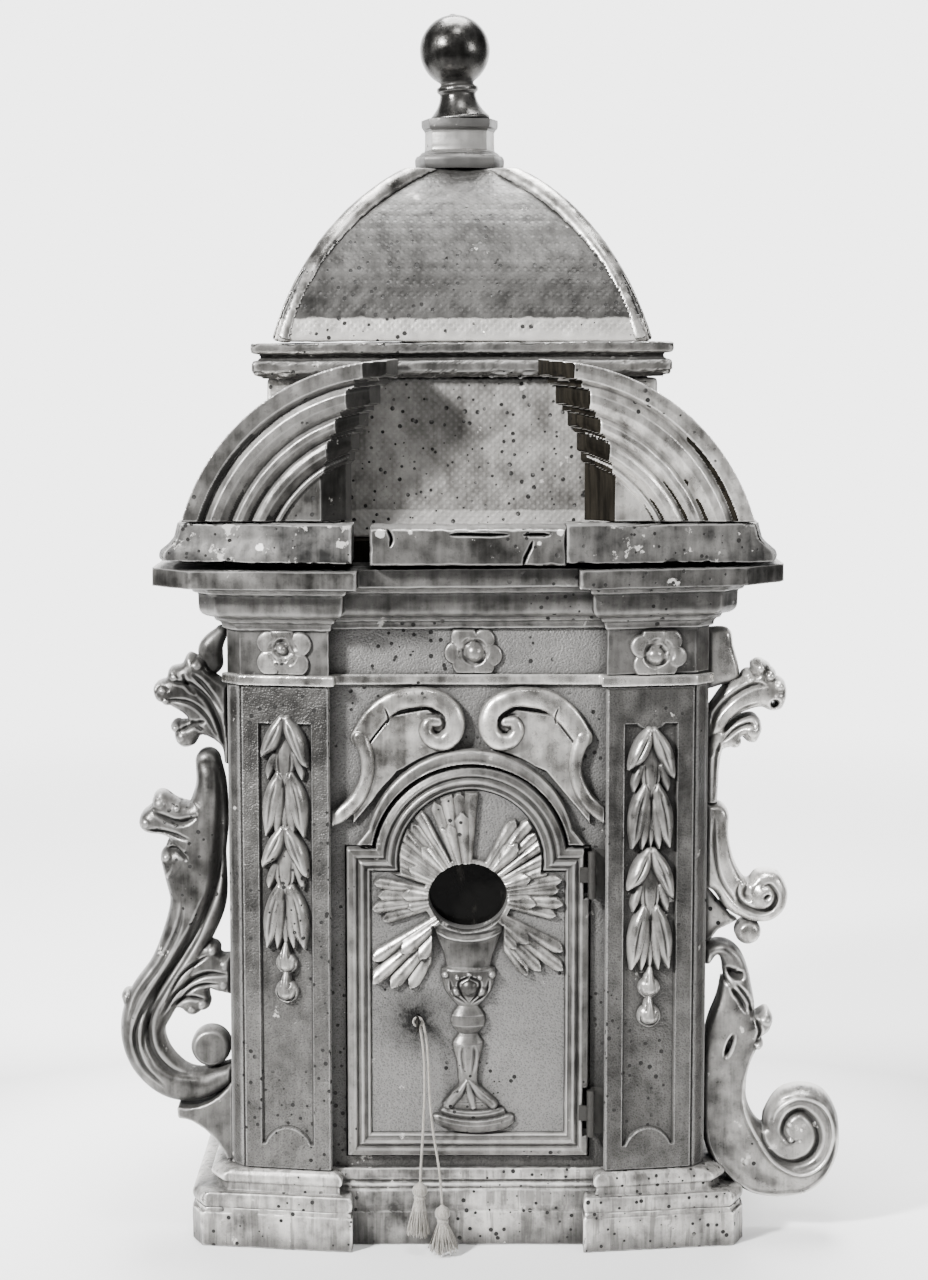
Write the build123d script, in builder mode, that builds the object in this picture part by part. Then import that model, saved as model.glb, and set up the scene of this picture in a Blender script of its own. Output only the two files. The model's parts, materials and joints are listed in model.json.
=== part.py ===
"""Carved and leafed altar tabernacle: a wooden cabinet with a hinged, locked door, canted
pilasters and side scrolls, under a lift-off crown with broken pediment, drum, dome and ball.

Millimetres, +Z up, front towards -Y. Everything is drawn from the plane of the front board,
and each finished piece is then moved so that the origin is the middle of the underside.
"""

import os
from functools import partial
from math import atan2, cos, hypot, pi, radians, sin, sqrt, tan

from build123d import *

# Carcass
DEPTH = 290
HALF_WIDTH = 182
BOARD = 18
BACK_BOARD = 12
BASE_BOARD = 14
CORNER = 12  # how far back the side panels start, behind the canted corners
SIDE_IN = HALF_WIDTH - BOARD
PILASTER_IN = 104
PILASTER_OUT = 171
FLOOR_TOP = 64
FLOOR_BOARD = 14

# Heights of the front
PEDESTAL_TOP = 60
ASTRAGAL_LOW = 434
ASTRAGAL_TOP = 442
FRIEZE_TOP = 476.5
SLAB_LOW = 510
SLAB_TOP = 526
CROWN_LOW = 526
CROWN_BOARD = 16
CROWN_TOP = 557
DRUM_TOP = 662.6
DOME_LOW = 689.4
DOME_HEIGHT = 134.6

# Door and its opening
DOOR_HALF = 92.2
DOOR_LOW = 69.3
DOOR_SHOULDER = 310
DOOR_ARCH = 73.5
ARCH_X = 2
ARCH_Z = 299
FRAME_BAND = 19
DOOR_BACK = 12
PANEL_FACE = -2
FRAME_FACE = -8
JAMB_GAP = 1.1
ARCH_GAP = 1.8
REBATE = 6
OCULUS_Z = 272
OCULUS_WIDE = 59
OCULUS_HIGH = 51

# Hinges, lock and key
HINGE_X = 93.5
HINGE_Y = -10
HINGE_HEIGHTS = (105, 290)
KNUCKLE = 12
BARREL = 3
PIN = 1.3
KEY_X = -38
KEY_Z = 178
STEM = 2

# Crown
CENTRE_HALF = 72
FASCIA_BREAK = 13  # the gap that stands open at the middle block's left end
CROWN_X = -4.5
DOME_Y = 150
DRUM_FRONT = 28
DRUM_HALF = 147
DOME_HALF_X = 141.5
DOME_HALF_Y = 125
LANTERN_HALF_X = 28.7
LANTERN_HALF_Y = 25.3
SHELL = 12
DOWEL = 6
DOWEL_DEEP = 10
FINIAL_LEAN = 4

# Cord with its two tassels
CORD = 2


def save(piece, name):
    """Label a finished piece, move it to the base's middle and write it."""
    part = Pos(0, -DEPTH / 2, 0) * piece.part
    part.label = name
    export_step(part, f"parts/{name}.step")


def face(points, plane=Plane.XY):
    """Flat face with straight edges."""
    with BuildSketch(plane) as flat:
        with BuildLine():
            Polyline(*points, close=True)
        make_face()
    return flat.sketch


def curved_face(runs, plane):
    """Flat face whose edge is a row of runs, each a line or a curve, that meet at corners."""
    with BuildSketch(plane) as flat:
        with BuildLine():
            for number, run in enumerate(runs):
                points = [*run, runs[(number + 1) % len(runs)][0]]
                if len(points) > 2:
                    Spline(*points)
                else:
                    Line(*points)
        make_face()
    return flat.sketch


def slab(points, low, high, mode=Mode.ADD):
    """Upright prism over a plan outline."""
    extrude(face(points, Plane.XY.offset(low)), amount=high - low, mode=mode)


def block(x, y, z, mode=Mode.ADD):
    """Box between two values on each axis."""
    slab([(x[0], y[0]), (x[1], y[0]), (x[1], y[1]), (x[0], y[1])], z[0], z[1], mode)


def moulding(levels, plan):
    """Moulded block: its plan outline grows and shrinks with the reach at each level."""
    for (low, reach), (high, next_reach) in zip(levels, levels[1:]):
        if high > low:
            sections = [face(plan(reach), Plane.XY.offset(low)),
                        face(plan(next_reach), Plane.XY.offset(high))]
            loft(sections, ruled=True)


def front_plane(y):
    """Plane that faces the viewer, with x to the right and z up."""
    return Plane((0, y, 0), x_dir=(1, 0, 0), z_dir=(0, -1, 0))


def mirrored(points, side):
    """The points on their own side of the middle."""
    return [(side * x, *rest) for x, *rest in points]


def quarter_round(low, high, start, end, steps=4):
    """Levels of an ovolo between two heights and two reaches."""
    turns = [pi / 2 * step / steps for step in range(steps + 1)]
    return [(low + (high - low) * (1 - cos(turn)), start + (end - start) * sin(turn)) for turn in turns]


def half_round(low, high, inner, outer, steps=6):
    """Levels of a torus between two heights."""
    turns = [pi * step / steps for step in range(steps + 1)]
    middle = (low + high) / 2
    return [(middle - (high - low) / 2 * cos(turn), inner + (outer - inner) * sin(turn)) for turn in turns]


os.makedirs("parts", exist_ok=True)
SIDES = ((-1, "left"), (1, "right"))

# ---------------------------------------------------------------- carcass

with BuildPart() as base_board:
    block((-HALF_WIDTH + BOARD, HALF_WIDTH - BOARD), (BOARD, DEPTH - BACK_BOARD), (0, BASE_BOARD))
save(base_board, "base_board")

with BuildPart() as floor_board:
    block((-HALF_WIDTH + BOARD, HALF_WIDTH - BOARD), (BOARD, DEPTH - BACK_BOARD),
          (FLOOR_TOP - FLOOR_BOARD, FLOOR_TOP))
save(floor_board, "floor_board")

for side, name in SIDES:
    with BuildPart() as side_panel:
        edges = sorted((side * (HALF_WIDTH - BOARD), side * HALF_WIDTH))
        block(edges, (CORNER, DEPTH - BACK_BOARD), (0, SLAB_LOW))
    save(side_panel, f"side_panel_{name}")

with BuildPart() as back_panel:
    block((-HALF_WIDTH, HALF_WIDTH), (DEPTH - BACK_BOARD, DEPTH), (0, SLAB_LOW))
save(back_panel, "back_panel")


def door_outline(grow, arch_grow, inset=0):
    """Closed runs of the door's shape: a rectangle with an arch that rises from its shoulders."""
    half = DOOR_HALF + grow - inset
    low = DOOR_LOW - grow + inset
    shoulder = DOOR_SHOULDER + grow - inset
    radius = DOOR_ARCH + arch_grow - inset
    springing = sqrt(radius**2 - (shoulder - ARCH_Z) ** 2)
    with BuildSketch(front_plane(0)) as flat:
        with BuildLine():
            Polyline((ARCH_X - springing, shoulder), (-half, shoulder), (-half, low),
                     (half, low), (half, shoulder), (ARCH_X + springing, shoulder))
            ThreePointArc((ARCH_X + springing, shoulder), (ARCH_X, ARCH_Z + radius),
                          (ARCH_X - springing, shoulder))
        make_face()
    return flat.sketch


def front_moved(flat, y):
    """A front-facing face, moved to a plane at this depth."""
    return Pos(0, y, 0) * flat


front_half = HALF_WIDTH - BOARD
with BuildPart() as front_board:
    block((-front_half, front_half), (0, BOARD), (0, SLAB_LOW))
    extrude(front_moved(door_outline(JAMB_GAP, ARCH_GAP), DOOR_BACK + 0.5), amount=40, mode=Mode.SUBTRACT)
    extrude(front_moved(door_outline(0, 0, REBATE), 40), amount=60, mode=Mode.SUBTRACT)
save(front_board, "front_board")

with BuildPart() as top_board:
    block((-HALF_WIDTH, HALF_WIDTH), (0, DEPTH), (SLAB_LOW, SLAB_TOP))
    for x in (-150, 150):
        with Locations((x, DOME_Y, SLAB_TOP)):
            Hole(DOWEL + 0.08, depth=DOWEL_DEEP + 0.5)
save(top_board, "top_board")

# ---------------------------------------------------------------- pedestals, plinth and pilasters

PILASTER = [(PILASTER_IN, 0), (PILASTER_IN, -14), (PILASTER_OUT, -2.5), (HALF_WIDTH, CORNER),
            (SIDE_IN, CORNER), (SIDE_IN, 0)]


def pedestal_plan(side, reach):
    """Plan of a pedestal, from the pilaster's face at no reach to the foot block at full reach."""
    outer = HALF_WIDTH + 31 * reach
    corner = CORNER - 2 * reach
    inner = PILASTER_IN - 16 * reach
    plan = [(inner, 0), (inner, -14 - 11 * reach), (PILASTER_OUT + 33 * reach, -2.5 - 6 * reach),
            (outer, corner), (outer, DEPTH), (HALF_WIDTH, DEPTH), (HALF_WIDTH, CORNER), (SIDE_IN, CORNER),
            (SIDE_IN, 0)]
    return mirrored(plan, side)


# Foot block, fillet, torus, groove, hollow and roll: each level's height and reach.
FOOT_TOP = 26.7
FILLET_TOP = 30.7
TORUS_TOP = 42.4
PEDESTAL_LEVELS = [(0, 1), (FOOT_TOP, 1), (FOOT_TOP, 0.93), (FILLET_TOP, 0.92),
                   *half_round(FILLET_TOP, TORUS_TOP, 0.86, 1), (TORUS_TOP, 0.6), (43.6, 0.4), (48.9, 0.38),
                   (50.4, 0.5), (53, 0.54), (56, 0.48), (58.5, 0.34), (PEDESTAL_TOP, 0.13)]
pedestals = {}
for side, name in SIDES:
    with BuildPart() as pedestal:
        moulding(PEDESTAL_LEVELS, partial(pedestal_plan, side))
    pedestals[side] = pedestal.part
    save(pedestal, f"pedestal_{name}")


def plinth_plan(reach):
    """Plan of the plinth between the pedestals."""
    front = -1.5 - 5 * reach
    return [(-PILASTER_IN, 0), (PILASTER_IN, 0), (PILASTER_IN, front), (-PILASTER_IN, front)]


PLINTH_LEVELS = [(0, 1), (27, 1), (27, 0.8), (30.5, 0.8), (31, 0.95), (43.6, 0.9), (44.6, 0.5), (46, 0.72),
                 (48.4, 0.72), (49, 0.3), (50.6, 0.3), (51.2, 0.62), (55.5, 0.72), (PEDESTAL_TOP, 0.45)]
with BuildPart() as plinth_centre:
    moulding(PLINTH_LEVELS, plinth_plan)
    for pedestal in pedestals.values():
        add(pedestal, mode=Mode.SUBTRACT)
save(plinth_centre, "plinth_centre")

CANT = atan2(11.5, 67)  # turn of the pilaster's face, from the inner edge back to the outer
RECESS_DEEP = 2.5


def pilaster_plane(side, back=0.0):
    """Plane on a pilaster's canted face, its x to the right and its origin on the face's middle line."""
    across = Vector(cos(CANT), side * sin(CANT), 0)
    out = Vector(side * sin(CANT), -cos(CANT), 0)
    middle = Vector(side * 137.5, -8.25, 0)
    return Plane(middle - out * back, x_dir=across, z_dir=out)


RECESS_HALF = 20
RECESS_LOW = 80
RECESS_TOP = 405
pilasters = {}
for side, name in SIDES:
    with BuildPart() as pilaster:
        slab(mirrored(PILASTER, side), PEDESTAL_TOP, ASTRAGAL_LOW)
        with BuildSketch(pilaster_plane(side)):
            with Locations((0, (RECESS_LOW + RECESS_TOP) / 2)):
                Rectangle(2 * RECESS_HALF, RECESS_TOP - RECESS_LOW)
            with Locations((0, RECESS_LOW)):
                Circle(9, mode=Mode.SUBTRACT)
            with Locations((-RECESS_HALF, RECESS_TOP), (RECESS_HALF, RECESS_TOP)):
                Circle(8, mode=Mode.SUBTRACT)
        extrude(amount=-RECESS_DEEP, mode=Mode.SUBTRACT)
    pilasters[side] = pilaster.part
    save(pilaster, f"pilaster_{name}")

# Hanging leaves: the height of each spray's tip, then of the two round drops below.
FESTOONS = {-1: ((358, 316, 274, 230), (222, 200)), 1: ((349, 307, 257, 214), (203, 181))}
SPRAY = 54
for side, name in SIDES:
    tips, drops = FESTOONS[side]
    with BuildPart() as festoon:
        with BuildSketch(pilaster_plane(side, RECESS_DEEP)):
            with Locations((0, (tips[0] + 50 + drops[1]) / 2)):
                Rectangle(5, tips[0] + 50 - drops[1])
            for tip in tips:
                for lean in (-24, 0, 24):
                    with Locations(Location((lean * 0.36, tip + SPRAY / 2, 0), lean)):
                        Ellipse(6, SPRAY / 2)
            for drop in drops:
                with Locations((0, drop)):
                    Circle(8)
        extrude(amount=8)
        add(pilasters[side], mode=Mode.SUBTRACT)
    save(festoon, f"festoon_{name}")

# ---------------------------------------------------------------- entablature


def cornice_plan(side, reach):
    """Plan of a cornice block over a pilaster, returning along the side to the back."""
    outer = HALF_WIDTH + 40 * reach
    corner = CORNER - 22 * reach
    plan = [(PILASTER_IN - 22.6 * reach, 0), (PILASTER_IN - 22.6 * reach, -14 - 41 * reach),
            (171 + 34 * reach, -2.5 - 32.5 * reach), (outer, corner), (outer, DEPTH),
            (HALF_WIDTH, DEPTH), (HALF_WIDTH, CORNER), (SIDE_IN, CORNER), (SIDE_IN, 0)]
    return mirrored(plan, side)


SLAB_HALF = 236
SLAB_PLAN = [(81.4, 0), (81.4, -55), (205, -35), (SLAB_HALF, -3), (SLAB_HALF, DEPTH), (HALF_WIDTH, DEPTH),
             (HALF_WIDTH, 0)]


def cornice_centre_plan(reach):
    """Plan of the cornice between the blocks."""
    half = 104 - 22.6 * reach
    return [(-half, 0), (half, 0), (half, -1 - 32 * reach), (-half, -1 - 32 * reach)]


CORNICE_LEVELS = [(FRIEZE_TOP, 0.08), (480, 0.09), (482.5, 0.14), (482.5, 0.2), (486.3, 0.24),
                  *quarter_round(486.3, 493.5, 0.27, 0.5), (505, 0.51), (505, 0.6), (SLAB_LOW, 0.72)]
for side, name in SIDES:
    with BuildPart() as cornice:
        slab(mirrored(PILASTER, side), ASTRAGAL_TOP, FRIEZE_TOP)
        moulding(CORNICE_LEVELS, partial(cornice_plan, side))
        slab(mirrored(SLAB_PLAN, side), SLAB_LOW, SLAB_TOP)
    save(cornice, f"cornice_{name}")

with BuildPart() as cornice_centre:
    moulding(CORNICE_LEVELS, cornice_centre_plan)
    slab(cornice_centre_plan(1), SLAB_LOW, SLAB_TOP)
save(cornice_centre, "cornice_centre")

with BuildPart() as astragal:
    for side, _ in SIDES:
        grown = [(100, 0), (100, -18), (172, -6), (186, 10), (186, CORNER), (SIDE_IN, CORNER), (SIDE_IN, 0)]
        slab(mirrored(grown, side), ASTRAGAL_LOW, ASTRAGAL_TOP)
    block((-101, 101), (-4, 0), (ASTRAGAL_LOW, ASTRAGAL_TOP))
save(astragal, "astragal")

ROSETTE_Z = 459
ROSETTE_HIGH = 33.6
PETAL = 8.5
PETAL_DEEP = 6
EYE = 6.5
ROSETTE_PLACES = ((pilaster_plane(-1), 0), (front_plane(0), 4), (pilaster_plane(1), 4))
with BuildPart() as rosettes:
    for plane, x in ROSETTE_PLACES:
        with BuildSketch(plane):
            with Locations((x, ROSETTE_Z)):
                with PolarLocations(12, 6):
                    Circle(PETAL)
                Circle(PETAL)
                Rectangle(50, ROSETTE_HIGH, mode=Mode.INTERSECT)
        extrude(amount=PETAL_DEEP)
        with BuildSketch(plane.offset(PETAL_DEEP)):
            with Locations((x, ROSETTE_Z)):
                Circle(EYE)
        extrude(amount=2)
save(rosettes, "rosettes")

# ---------------------------------------------------------------- carving round the door

ARCHIVOLT_OUT = 86.5
ARCHIVOLT_DEEP = 10
with BuildPart() as archivolt:
    with BuildSketch(front_plane(0)):
        with BuildLine():
            ThreePointArc((ARCH_X - 55, 366), (ARCH_X, ARCH_Z + ARCHIVOLT_OUT), (ARCH_X + 55, 366))
            Polyline((ARCH_X + 55, 366), (90, 320), (90, DOOR_SHOULDER + 2), (-88, DOOR_SHOULDER + 2),
                     (-88, 320), (ARCH_X - 55, 366))
        make_face()
    extrude(amount=ARCHIVOLT_DEEP)
    extrude(front_moved(door_outline(JAMB_GAP, ARCH_GAP), 5), amount=40, mode=Mode.SUBTRACT)
archivolt_part = archivolt.part
save(archivolt, "archivolt")

SCROLL_BAND = {
    -1: [[(-86, 397), (-71, 420), (-37, 432), (-6, 420), (-2, 402), (-11, 389)],
         [(-24, 386), (-34, 398), (-27, 409)], [(-19, 410), (-33, 419), (-58, 412)], [(-74, 392)]],
    1: [[(92, 399), (63, 428), (38, 432), (10, 418), (8, 400)],
        [(15, 389), (27, 388), (39, 398), (32, 409)], [(24, 411), (42, 420), (66, 413)], [(80, 393)]],
}
SCROLL_TAIL = {
    -1: [[(-85, 394), (-80, 372), (-90, 348)], [(-103, 341)], [(-103, 326), (-84, 336), (-72, 356)],
         [(-70, 378), (-72, 388)]],
    1: [[(91, 396), (81, 384), (86, 356)], [(103, 341)], [(103, 328), (82, 340), (75, 364)],
        [(75, 380), (78, 389)]],
}
SCROLL_WEB = {
    -1: [(-74, 390), (-56, 411), (-30, 416), (-8, 400), (-10, 385), (-53, 367), (-86, 326), (-86, 341)],
    1: [(78, 390), (62, 412), (36, 416), (14, 400), (14, 385), (57, 367), (88, 326), (84, 341)],
}
for side, name in SIDES:
    with BuildPart() as c_scroll:
        extrude(curved_face(SCROLL_BAND[side], front_plane(0)), amount=9)
        extrude(curved_face(SCROLL_TAIL[side], front_plane(0)), amount=9)
        extrude(face(SCROLL_WEB[side], front_plane(0)), amount=5)
        add(archivolt_part, mode=Mode.SUBTRACT)
    save(c_scroll, f"c_scroll_{name}")

# ---------------------------------------------------------------- scrolls on the sides

SCROLL_FRONT = CORNER
SCROLL_BOARD = 26


def side_carving(runs, boss=None, cut=None):
    """Sawn and carved scroll board that stands out from a side panel."""
    with BuildPart() as carving:
        extrude(curved_face(runs, front_plane(SCROLL_FRONT)), amount=-SCROLL_BOARD)
        if boss:
            x, z, radius = boss
            with BuildSketch(front_plane(SCROLL_FRONT + SCROLL_BOARD)):
                with Locations((x, z)):
                    Circle(radius)
            extrude(amount=SCROLL_BOARD + 4)
        if cut:
            add(cut, mode=Mode.SUBTRACT)
        block((-HALF_WIDTH, HALF_WIDTH), (0, DEPTH), (0, SLAB_LOW), Mode.SUBTRACT)
    return carving


leaf_left = [
    [(-182, 475), (-197, 469)], [(-205, 453), (-212, 454), (-219, 449)],
    [(-219, 442), (-232, 441), (-241, 420)], [(-236, 413), (-226, 408)],
    [(-216, 404), (-224, 396), (-221, 384)], [(-210, 386), (-196, 384)], [(-182, 384)],
]
save(side_carving(leaf_left), "leaf_scroll_left")

s_left = [
    [(-182, 373), (-196, 380), (-208, 377), (-214, 368), (-209, 354)],
    [(-209, 341), (-222, 341), (-235, 346)], [(-243, 337), (-253, 322), (-246, 312)],
    [(-225, 306), (-236, 296), (-230, 260), (-245, 216)],
    [(-258, 190), (-264, 192), (-270, 170), (-261, 129), (-240, 109), (-217, 102), (-195, 109)],
    [(-182, 123)], [(-182, 134), (-209, 133), (-228, 147)],
    [(-234, 166), (-215, 171), (-203, 180)], [(-201, 190), (-190, 193)],
    [(-182, 212), (-193, 219), (-194, 236)], [(-182, 263)],
]
s_scroll = side_carving(s_left, boss=(-199, 146, 16))
save(s_scroll, "s_scroll_left")

bracket_left = [[(-225, 106)], [(-224, 94)], [(-217, 93), (-200, 82)], [(-186, 61)], [(-182, 61)],
                [(-182, 125)]]
save(side_carving(bracket_left, cut=s_scroll.part), "scroll_bracket_left")

leaf_right = [
    [(182, 475), (198, 467), (206, 452)], [(203, 438), (212, 448), (221, 450)],
    [(231, 445), (243, 432), (244, 420)], [(238, 410), (226, 410)], [(214, 405), (225, 396), (222, 386)],
    [(214, 384), (204, 380), (196, 360)], [(192, 339)], [(182, 339)],
]
save(side_carving(leaf_right), "leaf_scroll_right")

middle_right = [
    [(182, 338)], [(201, 338), (201, 318)], [(213, 284), (228, 281.5), (245.5, 264), (228, 246.5)],
    [(222, 246), (223, 234), (212, 229)], [(204, 236), (195, 232)], [(182, 232)],
]
save(side_carving(middle_right, boss=(228, 264, 11)), "volute_middle_right")

lower_right = [
    [(182, 219), (188, 227), (196, 229), (206, 225), (214, 216), (221, 196)],
    [(223, 176), (232, 177), (236, 162)], [(223, 143), (217, 120), (219, 100)],
    [(229, 84), (240, 102), (259, 113), (281, 103), (291, 78), (281, 48), (259, 27), (240, 23),
     (207, 38)],
    [(182, 75)], [(182, 127), (188, 160), (198, 200)], [(195, 212), (189, 215)],
]
save(side_carving(lower_right, boss=(260, 79, 13), cut=pedestals[1]), "volute_lower_right")

# ---------------------------------------------------------------- door

OCULUS = (0, OCULUS_Z)
with BuildPart() as door_panel:
    extrude(front_moved(door_outline(0, 0, FRAME_BAND), DOOR_BACK), amount=DOOR_BACK - PANEL_FACE)
    with BuildSketch(front_plane(DOOR_BACK)):
        with Locations(OCULUS):
            Ellipse(OCULUS_WIDE / 2, OCULUS_HIGH / 2)
        with Locations((KEY_X, KEY_Z)):
            Circle(STEM + 0.6)
    extrude(amount=40, mode=Mode.SUBTRACT)
save(door_panel, "door_panel")

# Outer band, groove, inner band and a bead at the field, each stepped down from the last.
FRAME_STEPS = ((7.5, -5, 9.5), (14, -5.5, 16.5), (16.5, -4, FRAME_BAND))
HINGE_NOTCH = 1.5 * KNUCKLE + 0.5
with BuildPart() as door_frame:
    ring = front_moved(door_outline(0, 0) - door_outline(0, 0, FRAME_BAND), DOOR_BACK)
    extrude(ring, amount=DOOR_BACK - FRAME_FACE)
    for inset, level, next_inset in FRAME_STEPS:
        groove = front_moved(door_outline(0, 0, inset) - door_outline(0, 0, next_inset), level)
        extrude(groove, amount=10, mode=Mode.SUBTRACT)
    for z in HINGE_HEIGHTS:
        hinge = (z - HINGE_NOTCH, z + HINGE_NOTCH)
        block((84, 100), (-20, HINGE_Y + 2), hinge, Mode.SUBTRACT)
        block((89.5, 100), (-20, HINGE_Y + 4), hinge, Mode.SUBTRACT)
save(door_frame, "door_frame")

# The chalice: half-widths at heights, from the foot to the rim.
CHALICE = ((92, 29), (99, 26), (104, 25), (113, 21), (120, 10), (127, 8.5), (150, 10), (162, 10.5),
           (166, 8), (170, 15), (184, 15), (188, 9), (196, 14), (210, 21), (219, 19), (222, 17), (240, 24),
           (248, 26))
CHALICE_X = 1
RELIEF = 9
with BuildPart() as chalice:
    right = [(CHALICE_X + half, z) for z, half in CHALICE]
    left = [(CHALICE_X - half, z) for z, half in reversed(CHALICE)]
    extrude(face(right + left, front_plane(PANEL_FACE)), amount=RELIEF)
    with BuildSketch(front_plane(PANEL_FACE)):
        with Locations(OCULUS):
            Ellipse(OCULUS_WIDE / 2 + 1, OCULUS_HIGH / 2 + 1)
    extrude(amount=RELIEF + 5, mode=Mode.SUBTRACT)
chalice_part = chalice.part
save(chalice, "chalice")

# Each bundle of rays: its direction, its half-spread and how far it reaches.
RAYS = ((90, 15, 84), (125, 12, 76), (157, 10, 70), (186, 11, 70), (226, 11, 88), (55, 12, 76),
        (24, 10, 70), (-6, 11, 70), (-44, 11, 88))
RAY_DEEP = 7
with BuildPart() as sun_rays:
    for direction, spread, reach in RAYS:
        rays = []
        for turn, share in ((-1, 0.86), (-0.55, 0.94), (0, 1), (0.55, 0.93), (1, 0.85)):
            angle = radians(direction + spread * turn)
            rays.append((reach * share * cos(angle), OCULUS_Z + reach * share * sin(angle)))
        extrude(face([(0, OCULUS_Z), *rays], front_plane(PANEL_FACE)), amount=RAY_DEEP)
    with BuildSketch(front_plane(PANEL_FACE)):
        with Locations(OCULUS):
            Ellipse(OCULUS_WIDE / 2 + 3, OCULUS_HIGH / 2 + 3)
    extrude(amount=RAY_DEEP)
    with BuildSketch(front_plane(PANEL_FACE)):
        with Locations(OCULUS):
            Ellipse(OCULUS_WIDE / 2, OCULUS_HIGH / 2)
    extrude(amount=RAY_DEEP, mode=Mode.SUBTRACT)
    field = front_moved(door_outline(0, 0, FRAME_BAND), PANEL_FACE)
    extrude(field, amount=RAY_DEEP, mode=Mode.INTERSECT)
    add(chalice_part, mode=Mode.SUBTRACT)
save(sun_rays, "sun_rays")

PANE = 3
with BuildPart() as oculus_glass:
    with BuildSketch(front_plane(DOOR_BACK + PANE)):
        with Locations(OCULUS):
            Ellipse(OCULUS_WIDE / 2 + 5, OCULUS_HIGH / 2 + 5)
    extrude(amount=PANE)
save(oculus_glass, "oculus_glass")

with BuildPart() as glass_retainer:
    with BuildSketch(front_plane(DOOR_BACK + PANE + 4)):
        with Locations(OCULUS):
            Ellipse(OCULUS_WIDE / 2 + 11, OCULUS_HIGH / 2 + 11)
            Ellipse(OCULUS_WIDE / 2 + 1, OCULUS_HIGH / 2 + 1, mode=Mode.SUBTRACT)
    extrude(amount=PANE + 4)
    with BuildSketch(front_plane(DOOR_BACK + PANE)):
        with Locations(OCULUS):
            Ellipse(OCULUS_WIDE / 2 + 5, OCULUS_HIGH / 2 + 5)
    extrude(amount=PANE, mode=Mode.SUBTRACT)
save(glass_retainer, "glass_retainer")

CASE_LEFT = -80
CASE_RIGHT = -20
CASE_LOW = 164
CASE_TOP = 196
CASE_DEEP = 14
CASE_WALL = 1.5
BOLT_LOW = KEY_Z + 8
BOLT_TOP = BOLT_LOW + 6
BOLT_FRONT = DOOR_BACK + 7
BOLT_BACK = BOLT_FRONT + 5
with BuildPart() as lock_case:
    block((CASE_LEFT, CASE_RIGHT), (DOOR_BACK, DOOR_BACK + CASE_DEEP), (CASE_LOW, CASE_TOP))
    block((CASE_LEFT + CASE_WALL, CASE_RIGHT - CASE_WALL), (DOOR_BACK, DOOR_BACK + CASE_DEEP - CASE_WALL),
          (CASE_LOW + CASE_WALL, CASE_TOP - CASE_WALL), Mode.SUBTRACT)
    block((CASE_LEFT, CASE_LEFT + 5), (BOLT_FRONT - 0.3, BOLT_BACK + 0.3), (BOLT_LOW - 0.3, BOLT_TOP + 0.3),
          Mode.SUBTRACT)
save(lock_case, "lock_case")

with BuildPart() as lock_bolt:
    block((CASE_LEFT, CASE_LEFT + 42), (BOLT_FRONT, BOLT_BACK), (BOLT_LOW, BOLT_TOP))
save(lock_bolt, "lock_bolt")

BOW_Y = -23
BOW = 5
WIRE = 1.2
with BuildPart() as key:
    with BuildSketch(Plane((KEY_X, -18, KEY_Z), x_dir=(1, 0, 0), z_dir=(0, 1, 0))):
        Circle(STEM)
    extrude(amount=18 + DOOR_BACK + 11)
    with BuildSketch(Plane((KEY_X, BOW_Y + BOW, KEY_Z), x_dir=(1, 0, 0), z_dir=(0, 0, 1))):
        Circle(WIRE)
    revolve(axis=Axis((KEY_X, BOW_Y, KEY_Z), (1, 0, 0)))
    block((KEY_X - 1, KEY_X + 1), (DOOR_BACK + 4, DOOR_BACK + 10), (KEY_Z - 7, KEY_Z))
save(key, "key")

# ---------------------------------------------------------------- hinges


def barrel(z, low, high, radius, mode=Mode.ADD):
    """Round bar on the hinge line, between two heights from the hinge's middle."""
    with BuildSketch(Plane((HINGE_X, HINGE_Y, z + low))) as section:
        Circle(radius)
    extrude(section.sketch, amount=high - low, mode=mode)


with BuildPart() as hinge_leaves_door:
    for z in HINGE_HEIGHTS:
        block((84.5, HINGE_X), (HINGE_Y, HINGE_Y + 2), (z - KNUCKLE / 2 + 0.2, z + KNUCKLE / 2 - 0.2))
        barrel(z, -KNUCKLE / 2 + 0.2, KNUCKLE / 2 - 0.2, BARREL)
        barrel(z, -KNUCKLE, KNUCKLE, PIN + 0.08, Mode.SUBTRACT)
save(hinge_leaves_door, "hinge_leaves_door")

with BuildPart() as hinge_leaves_frame:
    for z in HINGE_HEIGHTS:
        for low in (-1.5 * KNUCKLE, KNUCKLE / 2):
            barrel(z, low, low + KNUCKLE, BARREL)
            block((HINGE_X + 0.5, HINGE_X + 2.5), (HINGE_Y, -2), (z + low, z + low + KNUCKLE))
        block((HINGE_X + 0.5, 103.5), (-2, 0), (z - 1.5 * KNUCKLE, z + 1.5 * KNUCKLE))
        barrel(z, -2 * KNUCKLE, 2 * KNUCKLE, PIN, Mode.SUBTRACT)
save(hinge_leaves_frame, "hinge_leaves_frame")

with BuildPart() as hinge_pins:
    for z in HINGE_HEIGHTS:
        barrel(z, -1.5 * KNUCKLE, 1.5 * KNUCKLE, PIN)
save(hinge_pins, "hinge_pins")

# ---------------------------------------------------------------- cord and tassels

HITCH_Y = -15
HITCH = 3.3
with BuildPart() as cord_hitch:
    with BuildSketch(Plane((KEY_X + HITCH, HITCH_Y, KEY_Z), x_dir=(1, 0, 0), z_dir=(0, 0, 1))):
        Circle(CORD / 2)
    revolve(axis=Axis((KEY_X, HITCH_Y, KEY_Z), (0, 1, 0)))
save(cord_hitch, "cord_hitch")

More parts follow.
